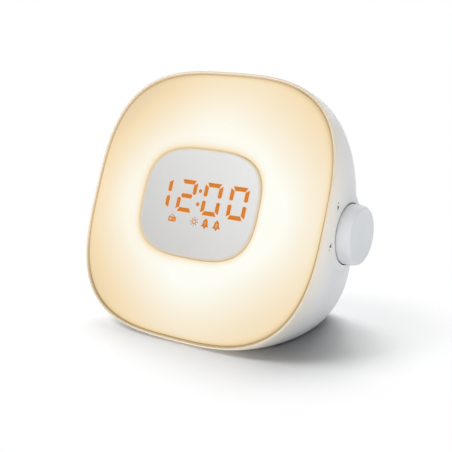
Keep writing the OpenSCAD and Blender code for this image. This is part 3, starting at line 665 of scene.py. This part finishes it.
def housing():
    """Rim, band and bowl as one closed moulding, with the opening and ledge of the rear panel."""
    outer_turns = [math.radians(90 * i / 80) for i in range(1, 81)]
    inner_turns = [math.radians(90 * i / 16) for i in range(16, -1, -1)]
    lip = [
        (WALL, 0.9), (2.1, 0.4), (1.6, 0.1), (LIP, 0),
        (0.8, 0.06), (0.4, 0.3), (0.12, 0.7), (0, LIP),
    ]
    lip_inside = 4  # rings from the wall's inner side to the crest of the lip
    places = [lambda a, i=i, d=d: rim_place(i, d, a) for i, d in lip]
    places += [lambda a, d=d: rim_place(0, d, a) for d in (2.5, 4.5, BAND)]
    # Share of the painted spill light and lip shade on each ring, from the lip's inner side
    # outwards
    painted_spill_and_shade = [1, 0.97, 0.85, 0.55, 0.45, 0.4, 0.35, 0.3, 0.24, 0.22, 0.2]
    painted_spill_and_shade += [0.2 - 0.02 * i for i in range(1, 11)]
    # Share of the glow painted into each ring of the rim and bowl
    painted_rim_glow = [0, 0, 0, 0, 0.1, 0.5, 0.9, 1, 1, 1, 1] + [1 - 0.07 * i for i in range(1, 15)]
    places += [lambda a, t=t: bowl_place(t, 0, a) for t in outer_turns]
    opening = [(0.5, 0), (0.15, 0.15), (0, 0.5)]
    opening += [(0, PANEL_IN), (-LEDGE, PANEL_IN), (-LEDGE, PANEL_IN + LEDGE_T)]
    opening += [(WALL, PANEL_IN + LEDGE_T), (WALL, WALL)]
    places += [lambda a, g=g, d=d: opening_place(g, d, a) for g, d in opening]
    inner = len(places)
    places += [lambda a, t=t: bowl_place(t, WALL, a) for t in inner_turns]

    bm = sleeve(len(places), SKIN_SEGMENTS, capped=False)
    painted_spill_and_shade_layer = bm.verts.layers.float.new("painted_spill_and_shade")
    painted_rim_glow_layer = bm.verts.layers.float.new("painted_rim_glow")
    for v in bm.verts:
        ring = round(v.co.z)
        turn = math.atan2(v.co.y, v.co.x)
        shade_side = smooth((math.cos(turn + math.radians(48)) - 0.6) / 0.4)
        if ring < len(painted_spill_and_shade):
            v[painted_spill_and_shade_layer] = painted_spill_and_shade[ring]
        if ring < len(painted_rim_glow):
            v[painted_rim_glow_layer] = painted_rim_glow[ring] * painted_rim_glow_round(math.degrees(turn) - PAINTED_RIM_GLOW_LOWEST)
        # Deeper painted shade on the lip's inner slope towards the lower right
        if ring < lip_inside:
            v[painted_spill_and_shade_layer] += (1 - painted_spill_and_shade[ring]) * 0.7 * shade_side
            # Glow painted on the lip's inner slope at the upper left
            v[painted_rim_glow_layer] = 0.5 * smooth((math.cos(turn - math.radians(135)) + 0.1) / 0.6)
    floor = (BASE_Z + FLOOR_T) * MM

    def place(ring, a, reach):
        point = places[ring](a)
        if ring >= inner:
            point.z = max(point.z, floor)
        return point

    wrap(bm, place)
    raise_boss(bm)
    flatten_base(bm)
    bmesh.ops.recalc_face_normals(bm, faces=bm.faces)
    obj = piece("moulded_housing", bm, "housing", 50)
    cut(obj, knob_recess(), pad_recess())
    shade(obj.data, 50)
    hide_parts("rear_shell")
    return obj


def knob_recess():
    """The round recess for the knob, its rounded lip and the hole of the encoder's bush."""
    edge = 0.5
    inner_end, outer_end = RECESS_X - 9, BOSS_X + 4
    profile = [(0, inner_end), (BUSH_HOLE_R, inner_end), (BUSH_HOLE_R, RECESS_X)]
    profile += [(RECESS_R, RECESS_X)] + arc(RECESS_R + edge, BOSS_X - edge, edge, 180, 100, 6)
    profile += [(RECESS_R + edge, outer_end), (0, outer_end)]
    return cutter(on_knob_axis(spun([(r * MM, x * MM) for r, x in profile], 160)))


def on_knob_axis(bm):
    """Turns a piece spun about Z on to the knob's axis, +Z to +X."""
    axis_y, axis_z = knob_axis()
    turn = Matrix.Translation((0, axis_y, axis_z)) @ Matrix.Rotation(math.radians(90), 4, "Y")
    bmesh.ops.transform(bm, matrix=turn, verts=bm.verts)
    return bm


def pad_recess():
    low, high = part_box("base_pad")
    clearance = PAD_CLEARANCE * MM
    bm = bmesh.new()
    bmesh.ops.create_cube(bm, size=1)
    size = (high.x - low.x + 2 * clearance, high.y - low.y + 2 * clearance, high.z)
    bmesh.ops.scale(bm, vec=size, verts=bm.verts)
    bmesh.ops.translate(
        bm, vec=((low.x + high.x) / 2, (low.y + high.y) / 2, high.z / 2), verts=bm.verts
    )
    upright = [e for e in bm.edges if abs(e.verts[0].co.z - e.verts[1].co.z) > 1e-4]
    bmesh.ops.bevel(
        bm, geom=upright, offset=(PAD_CORNER + PAD_CLEARANCE) * MM, offset_type="OFFSET",
        segments=12, profile=0.5, affect="EDGES", clamp_overlap=True, material=-1,
    )
    return cutter(bm)


# ---------------------------------------------------------------- glowing face

# The glow is full near the window and falls outwards, with shade painted as a dim line along both
# edges, where the face meets the window's gap and the rim
GLOW_FALL, FALL_START = 0.35, 0.15
INNER_PAINTED_SHADE, INNER_REACH = 0.6, 0.04
OUTER_PAINTED_SHADE, OUTER_REACH = 0.3, 0.025
# It is brighter on the knob's side, and dimmer at the top and in the corners
SIDE_GAIN, TOP_DIM = 0.09, 0.04
CORNER_DIM, CORNER_START = 0.17, 0.4
HIDDEN_GLOW = 0.1  # of the skirt and the back


def face_glow(t, a):
    """Glow at the share t of the way outwards and the angle a."""
    glow = 1 - GLOW_FALL * smooth((t - FALL_START) / (1 - FALL_START))
    # Painted shade: dim lines at the window's edge and at the rim
    glow -= INNER_PAINTED_SHADE * math.exp(-t / INNER_REACH) + OUTER_PAINTED_SHADE * math.exp((t - 1) / OUTER_REACH)
    glow += SIDE_GAIN * math.cos(a) - TOP_DIM * math.sin(a)
    return glow - CORNER_DIM * smooth(t / CORNER_START) * math.sin(2 * a) ** 2


def light_face():
    """Opal diffuser: a domed ring with a rounded outer edge, a hole for the window and a skirt."""
    hole_w, hole_h = WINDOW_W + WINDOW_GAP, WINDOW_H + WINDOW_GAP
    width = DIFFUSER - hole_w
    thickness, outer_round, inner_round = 2.0, 3.0, 0.9
    edge_drop, hole_drop = 1.6, 1.3

    def front(t):
        rise = DOME * math.sin(math.radians(90) * (1 - t))
        outside = max(0, 1 - (1 - t) * width / outer_round)
        inside = max(0, 1 - t * width / inner_round)
        rise -= edge_drop * (1 - math.sqrt(max(0, 1 - outside**2)))
        return rise - hole_drop * (1 - math.sqrt(max(0, 1 - inside**2)))

    def back(t):
        return DOME * math.sin(math.radians(90) * (1 - t)) - thickness

    def rounding(radius, steps):
        """Shares of the width that a round of this radius reaches in equal turns."""
        turns = [math.radians(90 * i / steps) for i in range(steps + 1)]
        return [radius / width * (1 - math.cos(turn)) for turn in turns]

    near = rounding(inner_round, 6)
    far = [1 - share for share in reversed(rounding(outer_round, 8))]
    middle = [near[-1] + (far[0] - near[-1]) * i / 44 for i in range(1, 44)]
    shares = near + middle + far
    rings = [(t, 0, front(t)) for t in shares]
    rings += [(1, 0, -SKIRT), (1, -thickness, -SKIRT), (1, -thickness - 0.2, -thickness - 0.4)]
    rings += [(t, 0, back(t)) for t in (0.88, 0.7, 0.5, 0.3, 0.14)]
    rings += [(0, 2.8, WINDOW_SEAT - thickness), (0, 0, WINDOW_SEAT - thickness)]

    bm = sleeve(len(rings), FACE_SEGMENTS, capped=False)
    layer = bm.verts.layers.float.new("glow")
    for v in bm.verts:
        ring = round(v.co.z)
        angle = math.atan2(v.co.y, v.co.x)
        v[layer] = face_glow(shares[ring], angle) if ring < len(shares) else HIDDEN_GLOW

    def place(ring, a, reach):
        t, grow, out = rings[ring]
        w = hole_w + (DIFFUSER - hole_w) * t + grow
        h = hole_h + (DIFFUSER - hole_h) * t + grow
        x, up = squircle(w, h, a)
        return on_face(x, up, out)

    wrap(bm, place)
    obj = piece("glowing_face", bm, "housing", 60)
    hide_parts("light_diffuser")
    return obj


# ---------------------------------------------------------------- window and display


def crown(x, up):
    """Height of the window's front over the rim's plane."""
    r = (abs(x / WINDOW_W) ** SQUARENESS + abs(up / WINDOW_H) ** SQUARENESS) ** (1 / SQUARENESS)
    return WINDOW_PROUD + WINDOW_CROWN * (1 - min(1, r) ** 2)


def segment_outlines():
    """Outlines of a digit's seven bars around its middle: mitred corners, pointed ends."""
    half = BAR_W / 2
    w, h = DIGIT_W / 2, DIGIT_H / 2
    out_w, in_w, out_h, in_h = w + half, w - half, h + half, h - half
    flat_out, flat_in = out_w - MITRE_OUT, in_w - MITRE_IN
    top = [(-flat_out, out_h), (flat_out, out_h), (flat_in, in_h), (-flat_in, in_h)]
    upper = [
        (out_w, out_h - MITRE_OUT), (out_w, WAIST + TIP), (w, WAIST),
        (in_w, WAIST + TIP), (in_w, in_h - MITRE_IN),
    ]
    end = in_w + MITRE_IN
    middle = [
        (-end, 0), (TIP - end, half), (end - TIP, half),
        (end, 0), (end - TIP, -half), (TIP - end, -half),
    ]

    def flip(outline, x, y):
        return [(px * x, py * y) for px, py in outline]

    return {
        "top": top,
        "bottom": flip(top, 1, -1),
        "middle": middle,
        "upper_right": upper,
        "upper_left": flip(upper, -1, 1),
        "lower_right": flip(upper, 1, -1),
        "lower_left": flip(upper, -1, -1),
    }


LIT_BARS = [
    ("upper_right", "lower_right"),
    ("top", "upper_right", "middle", "lower_left", "bottom"),
    ("top", "upper_right", "upper_left", "lower_right", "lower_left", "bottom"),
    ("top", "upper_right", "upper_left", "lower_right", "lower_left", "bottom"),
]


def lit_outlines():
    """Every lit bar of the time 12:00, on the face."""
    bars = segment_outlines()
    outlines = []
    for i, names in enumerate(LIT_BARS):
        middle = (i - 1.5) * DIGIT_PITCH
        for name in names:
            outlines.append([(x + middle, y + DIGIT_UP) for x, y in bars[name]])
    return outlines


def distance_to_outline(x, y, outline):
    """Distance of a point from a convex outline, 0 inside it."""
    inside, nearest = True, 1e9
    side = 0
    for (x0, y0), (x1, y1) in zip(outline, outline[1:] + outline[:1]):
        dx, dy = x1 - x0, y1 - y0
        turn = dx * (y - y0) - dy * (x - x0)
        if side * turn < 0:
            inside = False
        side = side or turn
        share = min(1, max(0, ((x - x0) * dx + (y - y0) * dy) / (dx * dx + dy * dy)))
        nearest = min(nearest, math.hypot(x - x0 - share * dx, y - y0 - share * dy))
    return 0 if inside else nearest


def display_window():
    """Crowned window plate. Its points know how near they are to its edge and to a lit bar."""
    edge_r = 0.8
    flat = (WINDOW_W - edge_r) / WINDOW_W
    rings = [(flat * i / 84, 0) for i in range(85)]
    rings += [
        (flat + x / WINDOW_W, edge_r - y)
        for x, y in arc(0, 0, edge_r, 75, 0, 5)
    ]
    thickness = WINDOW_PROUD - WINDOW_SEAT
    rings += [(1, thickness), (0.5, thickness)]
    bm = sleeve(len(rings), FACE_SEGMENTS, capped=True)
    layers = {name: bm.verts.layers.float.new(name) for name in ("edge", "painted_digit_glow", "across")}
    bars = lit_outlines()
    # Reach and share of the glow painted round the lit bars
    digit_glow_reach, digit_glow_share = 1.2, 0.6
    edge_start = 0.945
    for v in bm.verts:
        share, _ = rings[round(v.co.z)]
        x, up = squircle(WINDOW_W * share, WINDOW_H * share, math.atan2(v.co.y, v.co.x))
        reach = min(1, math.hypot(v.co.x, v.co.y))
        x, up = x * reach, up * reach
        # Shares of the light painted on the window: warm at its edge, lighter towards the top and
        # the knob's side, and a glow round the lit bars
        v[layers["edge"]] = smooth((share - edge_start) / (1 - edge_start))
        v[layers["across"]] = 0.5 + 0.28 * x / WINDOW_W + 0.23 * up / WINDOW_H
        near = min(distance_to_outline(x, up, bar) for bar in bars)
        v[layers["painted_digit_glow"]] = digit_glow_share * smooth(1 - near / digit_glow_reach)

    def place(ring, a, reach):
        share, drop = rings[ring]
        x, up = squircle(WINDOW_W * share, WINDOW_H * share, a)
        x, up = x * reach, up * reach
        return on_face(x, up, crown(x, up) - drop)

    wrap(bm, place)
    obj = piece("window_plate", bm, "housing", 50)
    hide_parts("display_window")
    return obj


def inlay(bm, outline, proud=LIT_PROUD):
    """A flat mark inlaid in the window's front, a hair proud of it."""
    points = [bm.verts.new((x, y, 0)) for x, y in outline]
    face = bm.faces.new(points)
    raise_inlay(bm, [face], proud)


def raise_inlay(bm, faces, proud):
    depth = 0.3
    grown = bmesh.ops.extrude_face_region(bm, geom=faces, use_keep_orig=True)["geom"]
    top = [g for g in grown if isinstance(g, bmesh.types.BMVert)]
    bottom = {v for f in faces for v in f.verts}
    for v in bottom:
        v.co.z = crown(v.co.x, v.co.y) - depth
    for v in top:
        v.co.z = crown(v.co.x, v.co.y) + proud


def disc(bm, x, y, r, proud=LIT_PROUD, segments=24):
    made = bmesh.ops.create_circle(
        bm, cap_ends=True, radius=r, segments=segments, matrix=Matrix.Translation((x, y, 0))
    )
    faces = list({f for v in made["verts"] for f in v.link_faces})
    raise_inlay(bm, faces, proud)


def stroke(bm, x0, y0, x1, y1, width, proud=LIT_PROUD):
    """A straight line of the given width."""
    length = math.hypot(x1 - x0, y1 - y0)
    across_x, across_y = (y0 - y1) / length * width / 2, (x1 - x0) / length * width / 2
    inlay(
        bm,
        [
            (x0 - across_x, y0 - across_y), (x1 - across_x, y1 - across_y),
            (x1 + across_x, y1 + across_y), (x0 + across_x, y0 + across_y),
        ],
        proud,
    )


def on_window(name, bm):
    """Turns marks drawn flat on the face frame into a piece on the window."""
    for v in bm.verts:
        v.co = on_face(*v.co)
    bmesh.ops.recalc_face_normals(bm, faces=bm.faces)
    return piece(name, bm, "housing")


def lit_time():
    bm = bmesh.new()
    for outline in lit_outlines():
        inlay(bm, outline)
    for side in (-1, 1):
        disc(bm, 0, DIGIT_UP + side * COLON_SPREAD, COLON_R)
    return on_window("lit_time", bm)


class Symbol:
    """Draws a symbol around its own middle, in millimetres before scaling."""

    def __init__(self, bm, x, proud=LIT_PROUD):
        self.bm, self.x, self.proud = bm, x, proud

    def at(self, x, y):
        return self.x + SYMBOL_SIZE * x, SYMBOL_SIZE * y - SYMBOLS_DOWN

    def shape(self, points):
        inlay(self.bm, [self.at(*p) for p in points], self.proud)

    def line(self, points, width):
        for start, end in zip(points, points[1:]):
            stroke(self.bm, *self.at(*start), *self.at(*end), SYMBOL_SIZE * width, self.proud)

    def dot(self, x, y, r):
        disc(self.bm, *self.at(x, y), SYMBOL_SIZE * r, self.proud, 16)


BELL = arc(0, 0.75, 1.5, 0, 180, 10) + [
    (-1.7, -0.5), (-2.1, -1.3), (-2.7, -2.0), (2.7, -2.0), (2.1, -1.3), (1.7, -0.5),
]
RADIO_BODY = [
    (-2.6, -1.6), (-2.3, -1.9), (2.3, -1.9), (2.6, -1.6),
    (2.6, 0.5), (2.3, 0.8), (-2.3, 0.8), (-2.6, 0.5),
]


def lit_symbols():
    """Radio, sun and the two alarm bells under the time."""
    bm = bmesh.new()
    radio = Symbol(bm, RADIO_X)
    radio.shape(RADIO_BODY)
    radio.line([(-2.0, 0.8), (-0.2, 2.1), (1.6, 0.8)], 0.42)
    sun = Symbol(bm, SUN_X)
    for i in range(8):
        ray, side = math.radians(45 * i), math.radians(45 * i + 45)
        c, s = math.cos(ray), math.sin(ray)
        sun.line([(1.85 * c, 1.85 * s), (2.65 * c, 2.65 * s)], 0.55)
        sun.line([(1.25 * c, 1.25 * s), (1.25 * math.cos(side), 1.25 * math.sin(side))], 0.6)
    for x in (BELL_ONE_X, BELL_TWO_X):
        alarm = Symbol(bm, x)
        alarm.shape(BELL)
        alarm.dot(0, 2.35, 0.55)
        alarm.dot(0, -2.3, 0.75)
    return on_window("lit_symbols", bm)


def symbol_details():
    """Pale dial of the radio and numbers 1 and 2 on the bells."""
    bm = bmesh.new()
    radio = Symbol(bm, RADIO_X, 2 * LIT_PROUD)
    radio.dot(-1.1, -0.55, 0.75)
    radio.line([(0.5, -0.1), (1.8, -0.1)], 0.26)
    radio.line([(0.5, -0.9), (1.8, -0.9)], 0.26)
    one = Symbol(bm, BELL_ONE_X, 2 * LIT_PROUD)
    one.line([(-0.4, 0.5), (0, 0.8), (0, -1.0)], 0.34)
    two = Symbol(bm, BELL_TWO_X, 2 * LIT_PROUD)
    two.line([(-0.5, 0.5), (0, 0.8), (0.5, 0.4), (-0.5, -0.9), (0.6, -0.9)], 0.34)
    return on_window("symbol_details", bm)


# ---------------------------------------------------------------- side marks

MARK_SIZE = 1.45
MARK_PROUD, MARK_T = 0.03, 0.2
BAR_MARK_UP, BAR_MARK_OUT = 0.5, 0.35
# Middle of each mark, up and out on the side, and for an arrow the way that it points
ARROWS = ((12.6, -12.2, -1), (-11.3, -12.7, 1))
BAR_MARKS = ((15.9, -11.8), (-14.7, -12.3))


def side_marks():
    """Small printed arrows on the housing's side in front of the knob: down above, up below."""
    bm = bmesh.new()
    marks = []
    for up, out, point in ARROWS:
        tip, foot = up + point * MARK_SIZE, up - point * MARK_SIZE
        marks.append([(tip, out), (foot, out - MARK_SIZE), (foot, out + MARK_SIZE)])
    for up, out in BAR_MARKS:
        corners = ((-1, -1), (1, -1), (1, 1), (-1, 1))
        marks.append([(up + i * BAR_MARK_UP, out + j * BAR_MARK_OUT) for i, j in corners])
    for outline in marks:
        face = bm.faces.new([bm.verts.new((0, u, o)) for u, o in outline])
        bmesh.ops.subdivide_edges(bm, edges=face.edges, cuts=2, use_grid_fill=True)
    skin = bpy.data.objects["moulded_housing"]
    for v in bm.verts:
        start = on_face(RIM + 10, v.co.y, v.co.z)
        _, spot, _, _ = skin.ray_cast(start, Vector((-1, 0, 0)))
        v.co = spot + Vector((MARK_PROUD * MM, 0, 0))
    bmesh.ops.recalc_face_normals(bm, faces=bm.faces)
    bmesh.ops.solidify(bm, geom=bm.faces[:], thickness=MARK_T * MM)
    return piece("side_marks", bm, "housing")


# ---------------------------------------------------------------- knob


def knob():
    """Turned cap with a soft outer edge, a hollow back and the hub that grips the shaft."""
    low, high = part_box("knob")
    r = (high.y - low.y) / 2 / MM
    back, front = low.x / MM, high.x / MM
    edge, shoulder, wall, hub_r, shaft_r = 2.2, 5.0, 2.4, 6, 3
    hub_back, shaft_end = back + 3.3, front - wall - 1
    dish = 0.25
    inside = r - edge - 0.3
    profile = [(0, front - dish), (inside / 2, front - dish), (inside - 0.35, front - dish)]
    profile += [(inside - 0.1, front - 0.7 * dish), (inside + 0.1, front - 0.1 * dish)]
    profile += [(inside + 0.3, front)]
    profile += [
        (r - edge + edge * x, front - shoulder + shoulder * y)
        for x, y in arc(0, 0, 1, 90, 0, 16)
    ]
    profile += [(r, back + 2), (r, back + 0.5)]
    profile += [(r - 0.15, back + 0.15), (r - 0.5, back), (r - wall, back)]
    profile += [(r - wall, front - wall), (hub_r, front - wall), (hub_r, hub_back)]
    profile += [(shaft_r, hub_back), (shaft_r, shaft_end), (0, shaft_end)]
    bm = on_knob_axis(spun([(x * MM, y * MM) for x, y in profile], 160))
    obj = piece("control_knob", bm, "knob_body", 35)
    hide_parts("knob")
    return obj


# ---------------------------------------------------------------- back


def screw(name, node, places, head_r, head_t, shank_r, length):
    """Cross-recessed screws: each place is (point under the head, direction of the shank)."""
    head = [(0, head_t), (0.55 * head_r, head_t), (0.85 * head_r, 0.8 * head_t)]
    head += [(head_r, 0.35 * head_t), (head_r, 0)]
    shank = [(shank_r, 0), (shank_r, -length), (0, -length)]
    profile = [(r * MM, z * MM) for r, z in head + shank]
    bar_size = Vector((1.25 * head_r, 0.24 * head_r, 1.2 * head_t)) * MM
    whole, slots = bmesh.new(), (bmesh.new(), bmesh.new())
    for spot, inward in places:
        turn = Vector((0, 0, -1)).rotation_difference(inward).to_matrix().to_4x4()
        place = Matrix.Translation(spot) @ turn
        one = spun(profile, 32)
        bmesh.ops.transform(one, matrix=place, verts=one.verts)
        merge(whole, one)
        for slot, angle in zip(slots, (20, 110)):
            bar = bmesh.new()
            bmesh.ops.create_cube(bar, size=1)
            bmesh.ops.scale(bar, vec=bar_size, verts=bar.verts)
            bmesh.ops.translate(bar, vec=(0, 0, head_t * MM), verts=bar.verts)
            crosswise = place @ Matrix.Rotation(math.radians(angle), 4, "Z")
            bmesh.ops.transform(bar, matrix=crosswise, verts=bar.verts)
            merge(slot, bar)
    obj = piece(name, whole, "housing", 30)
    cut(obj, *[cutter(slot) for slot in slots])
    shade(obj.data, 30)
    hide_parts(node)
    return obj


def merge(target, source):
    """Adds one bmesh to another."""
    mesh = bpy.data.meshes.new("part")
    source.to_mesh(mesh)
    source.free()
    target.from_mesh(mesh)
    bpy.data.meshes.remove(mesh)


def back_details():
    softened("rear_panel", "back_panel", 0.3)
    softened("cell_cover", "cell_door", 0.3)
    softened("power_socket", "power_inlet", 0.3)
    for key in KEYS:
        softened("button_" + key, key + "_key_cap", 0.5, 3)
    places = [
        (on_panel(x * PANEL_SCREW_X, y * PANEL_SCREW_UP, PANEL_SCREW_SEAT), BACK_INWARD)
        for x in (-1, 1) for y in (-1, 1)
    ]
    screw("panel_fixings", "panel_screws", places, 2.6, 1.2, 1.3, 8)
    places = [(on_panel(CELL_X, CELL_UP - CELL_SCREW_DROP, CELL_SCREW_SEAT), BACK_INWARD)]
    screw("cell_door_fixing", "cell_cover_screw", places, 1.9, 0.8, 0.9, 4)


# ---------------------------------------------------------------- stage


LAMP_SIZE, LAMP_DISTANCE = 1.0, 1.8
LAMP_TARGET = Vector((0, 0.02, 0.06))
AMBIENT = 0.14
FLOOR_SEEN = (0.635, 0.638, 0.641, 1)
FLOOR_BOUNCE = (0.56, 0.563, 0.566, 1)
# Lamps: name, azimuth, elevation and power
TABLE_LAMPS = (
    ("table_back_lamp", 180, 50, 17),
    ("table_back_left_lamp", -147, 57, 26),
    ("table_low_left_lamp", -120, 30, 12),
    ("table_left_lamp", -56, 47, 31),
    ("table_front_lamp", -30, 25, 5),
)
CLOCK_LAMPS = (
    ("front_lamp", -20, 50, 11.5),
    ("knob_side_lamp", 55, 18, 5),
    ("low_front_lamp", 35, 8, 5),
    ("back_right_lamp", 130, 40, 4),
    ("back_lamp", 180, 30, 7),
    ("left_lamp", -90, 20, 7),
)


def seen_from(azimuth, elevation):
    """Unit vector from the clock to a place: azimuth 0 is in front, 90 on the knob's side."""
    return Vector((
        math.sin(azimuth) * math.cos(elevation),
        -math.cos(azimuth) * math.cos(elevation),
        math.sin(elevation),
    ))


def camera():
    """The product view: from the right and a little above, with a short tele lens."""
    azimuth, elevation = math.radians(32.464), math.radians(15.45)
    unit, distance, right_of, above = 90, 7, 0.178, -0.158
    right = Vector((math.cos(azimuth), math.sin(azimuth), 0))
    back = seen_from(azimuth, elevation)
    up = back.cross(right)
    place = MM * (FACE_CENTRE + unit * (right_of * right + above * up + distance * back))
    data = bpy.data.cameras.new("product_view")
    data.sensor_width = 36
    data.lens = 74.74
    data.clip_start, data.clip_end = 0.01, 100
    obj = bpy.data.objects.new("product_view", data)
    turn = Matrix((right, up, back)).transposed()
    obj.matrix_world = Matrix.Translation(place) @ turn.to_4x4()
    bpy.context.scene.collection.objects.link(obj)
    bpy.context.scene.camera = obj


def receivers(name, floor, state):
    """What a lamp lights: the floor alone, or all but the floor."""
    group = bpy.data.collections.new(name)
    group.objects.link(floor)
    group.collection_objects[0].light_linking.link_state = state
    return group


def softbox(name, azimuth, elevation, power, lit):
    """A square lamp turned to the clock, its direction given in degrees."""
    outward = seen_from(math.radians(azimuth), math.radians(elevation))
    data = bpy.data.lights.new(name, "AREA")
    data.shape = "SQUARE"
    data.size = LAMP_SIZE
    data.energy = power
    obj = bpy.data.objects.new(name, data)
    obj.location = LAMP_TARGET + LAMP_DISTANCE * outward
    obj.rotation_euler = outward.to_track_quat("Z", "Y").to_euler()
    obj.visible_camera = False
    obj.light_linking.receiver_collection = lit
    bpy.context.scene.collection.objects.link(obj)


def stage():
    bm = bmesh.new()
    bmesh.ops.create_grid(bm, x_segments=1, y_segments=1, size=20)
    mesh = bpy.data.meshes.new("floor")
    bm.to_mesh(mesh)
    bm.free()
    mesh.materials.append(studio_floor())
    floor = bpy.data.objects.new("floor", mesh)
    bpy.context.scene.collection.objects.link(floor)

    world = bpy.data.worlds.new("studio")
    world.use_nodes = True
    tree = world.node_tree
    ambient = tree.nodes["Background"]
    ambient.inputs["Color"].default_value = (0.98, 0.99, 1.0, 1)
    ambient.inputs["Strength"].default_value = AMBIENT
    white = tree.nodes.new("ShaderNodeBackground")
    white.inputs["Color"].default_value = (1, 1, 1, 1)
    blend = tree.nodes.new("ShaderNodeMixShader")
    tree.links.new(rays_that_see_white(tree), blend.inputs["Fac"])
    tree.links.new(ambient.outputs["Background"], blend.inputs[1])
    tree.links.new(white.outputs["Background"], blend.inputs[2])
    tree.links.new(blend.outputs["Shader"], tree.nodes["World Output"].inputs["Surface"])
    bpy.context.scene.world = world
    bpy.context.scene.view_settings.view_transform = "Standard"

    groups = (("table_light", "INCLUDE", TABLE_LAMPS), ("clock_light", "EXCLUDE", CLOCK_LAMPS))
    for group, state, lamps in groups:
        lit = receivers(group, floor, state)
        for lamp in lamps:
            softbox(*lamp, lit)


# ---------------------------------------------------------------- dressing


def dress(finish, *names):
    """Gives a finish to pieces and CAD nodes."""
    for name in names:
        obj = frame["nodes"].get(name) or bpy.data.objects[name]
        if obj.material_slots:
            for slot in obj.material_slots:
                slot.material = finish.material
        else:
            obj.data.materials.append(finish.material)


def dress_all():
    white = housing_plastic()
    cap = moulded("knob_plastic", srgb(234, 237, 240), 0.5, 0.6)
    keys = moulded("key_plastic", srgb(206, 209, 212), 0.4, 0.5)
    inner = moulded("inner_white_plastic", srgb(236, 236, 234), 0.5, 0.6)
    black = moulded("black_plastic", srgb(38, 38, 40), 0.4, 0.5)
    rubber = moulded("soft_rubber", srgb(52, 52, 54), 0.8, 0.95, 0.6)
    ferrite = moulded("ferrite", srgb(56, 56, 58), 0.6, 0.75, 0.5)
    steel = metal("steel", srgb(196, 198, 200), 0.22, 0.34)
    dress(white, "moulded_housing", "back_panel", "cell_door")
    dress(glowing_plastic(), "glowing_face")
    dress(window_plastic(), "window_plate")
    dress(lit_marks(), "lit_time", "lit_symbols", "display_segments", "display_icons")
    dress(moulded("pale_light", srgb(246, 206, 158), 0.4, 0.5), "symbol_details")
    dress(moulded("printed_grey", srgb(92, 92, 94), 0.5, 0.6), "side_marks")
    dress(cap, "control_knob")
    dress(keys, *[key + "_key_cap" for key in KEYS])
    dress(inner, "display_housing", "display_module", "reflector_tray", "light_board")
    dress(
        black, "power_inlet", "cell_holder", "control_chip", "capacitors", "button_switches",
        "encoder_plunger",
    )
    dress(rubber, "base_pad", "speaker_gasket")
    dress(ferrite, "speaker_magnet")
    dress(
        steel, "tray_screws", "light_board_screws", "main_board_screws", "radio_tuner",
        "encoder_shaft", "encoder_body", "encoder_bush", "encoder_washer", "encoder_nut",
        "panel_fixings", "speaker_frame", "speaker_screws", "button_board_screws", "power_pin",
        "cell_door_fixing", "backup_cell", "cell_spring",
    )
    dress(circuit_board(), "display_board", "main_board", "encoder_board", "button_board")
    dress(paper(), "speaker_cone")
    dress(ribbon(), "display_cable", "light_cable")
    dress(phosphor(), "light_lamps")


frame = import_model()
camera()
stage()
housing()
light_face()
display_window()
lit_time()
lit_symbols()
symbol_details()
side_marks()
knob()
back_details()
dress_all()
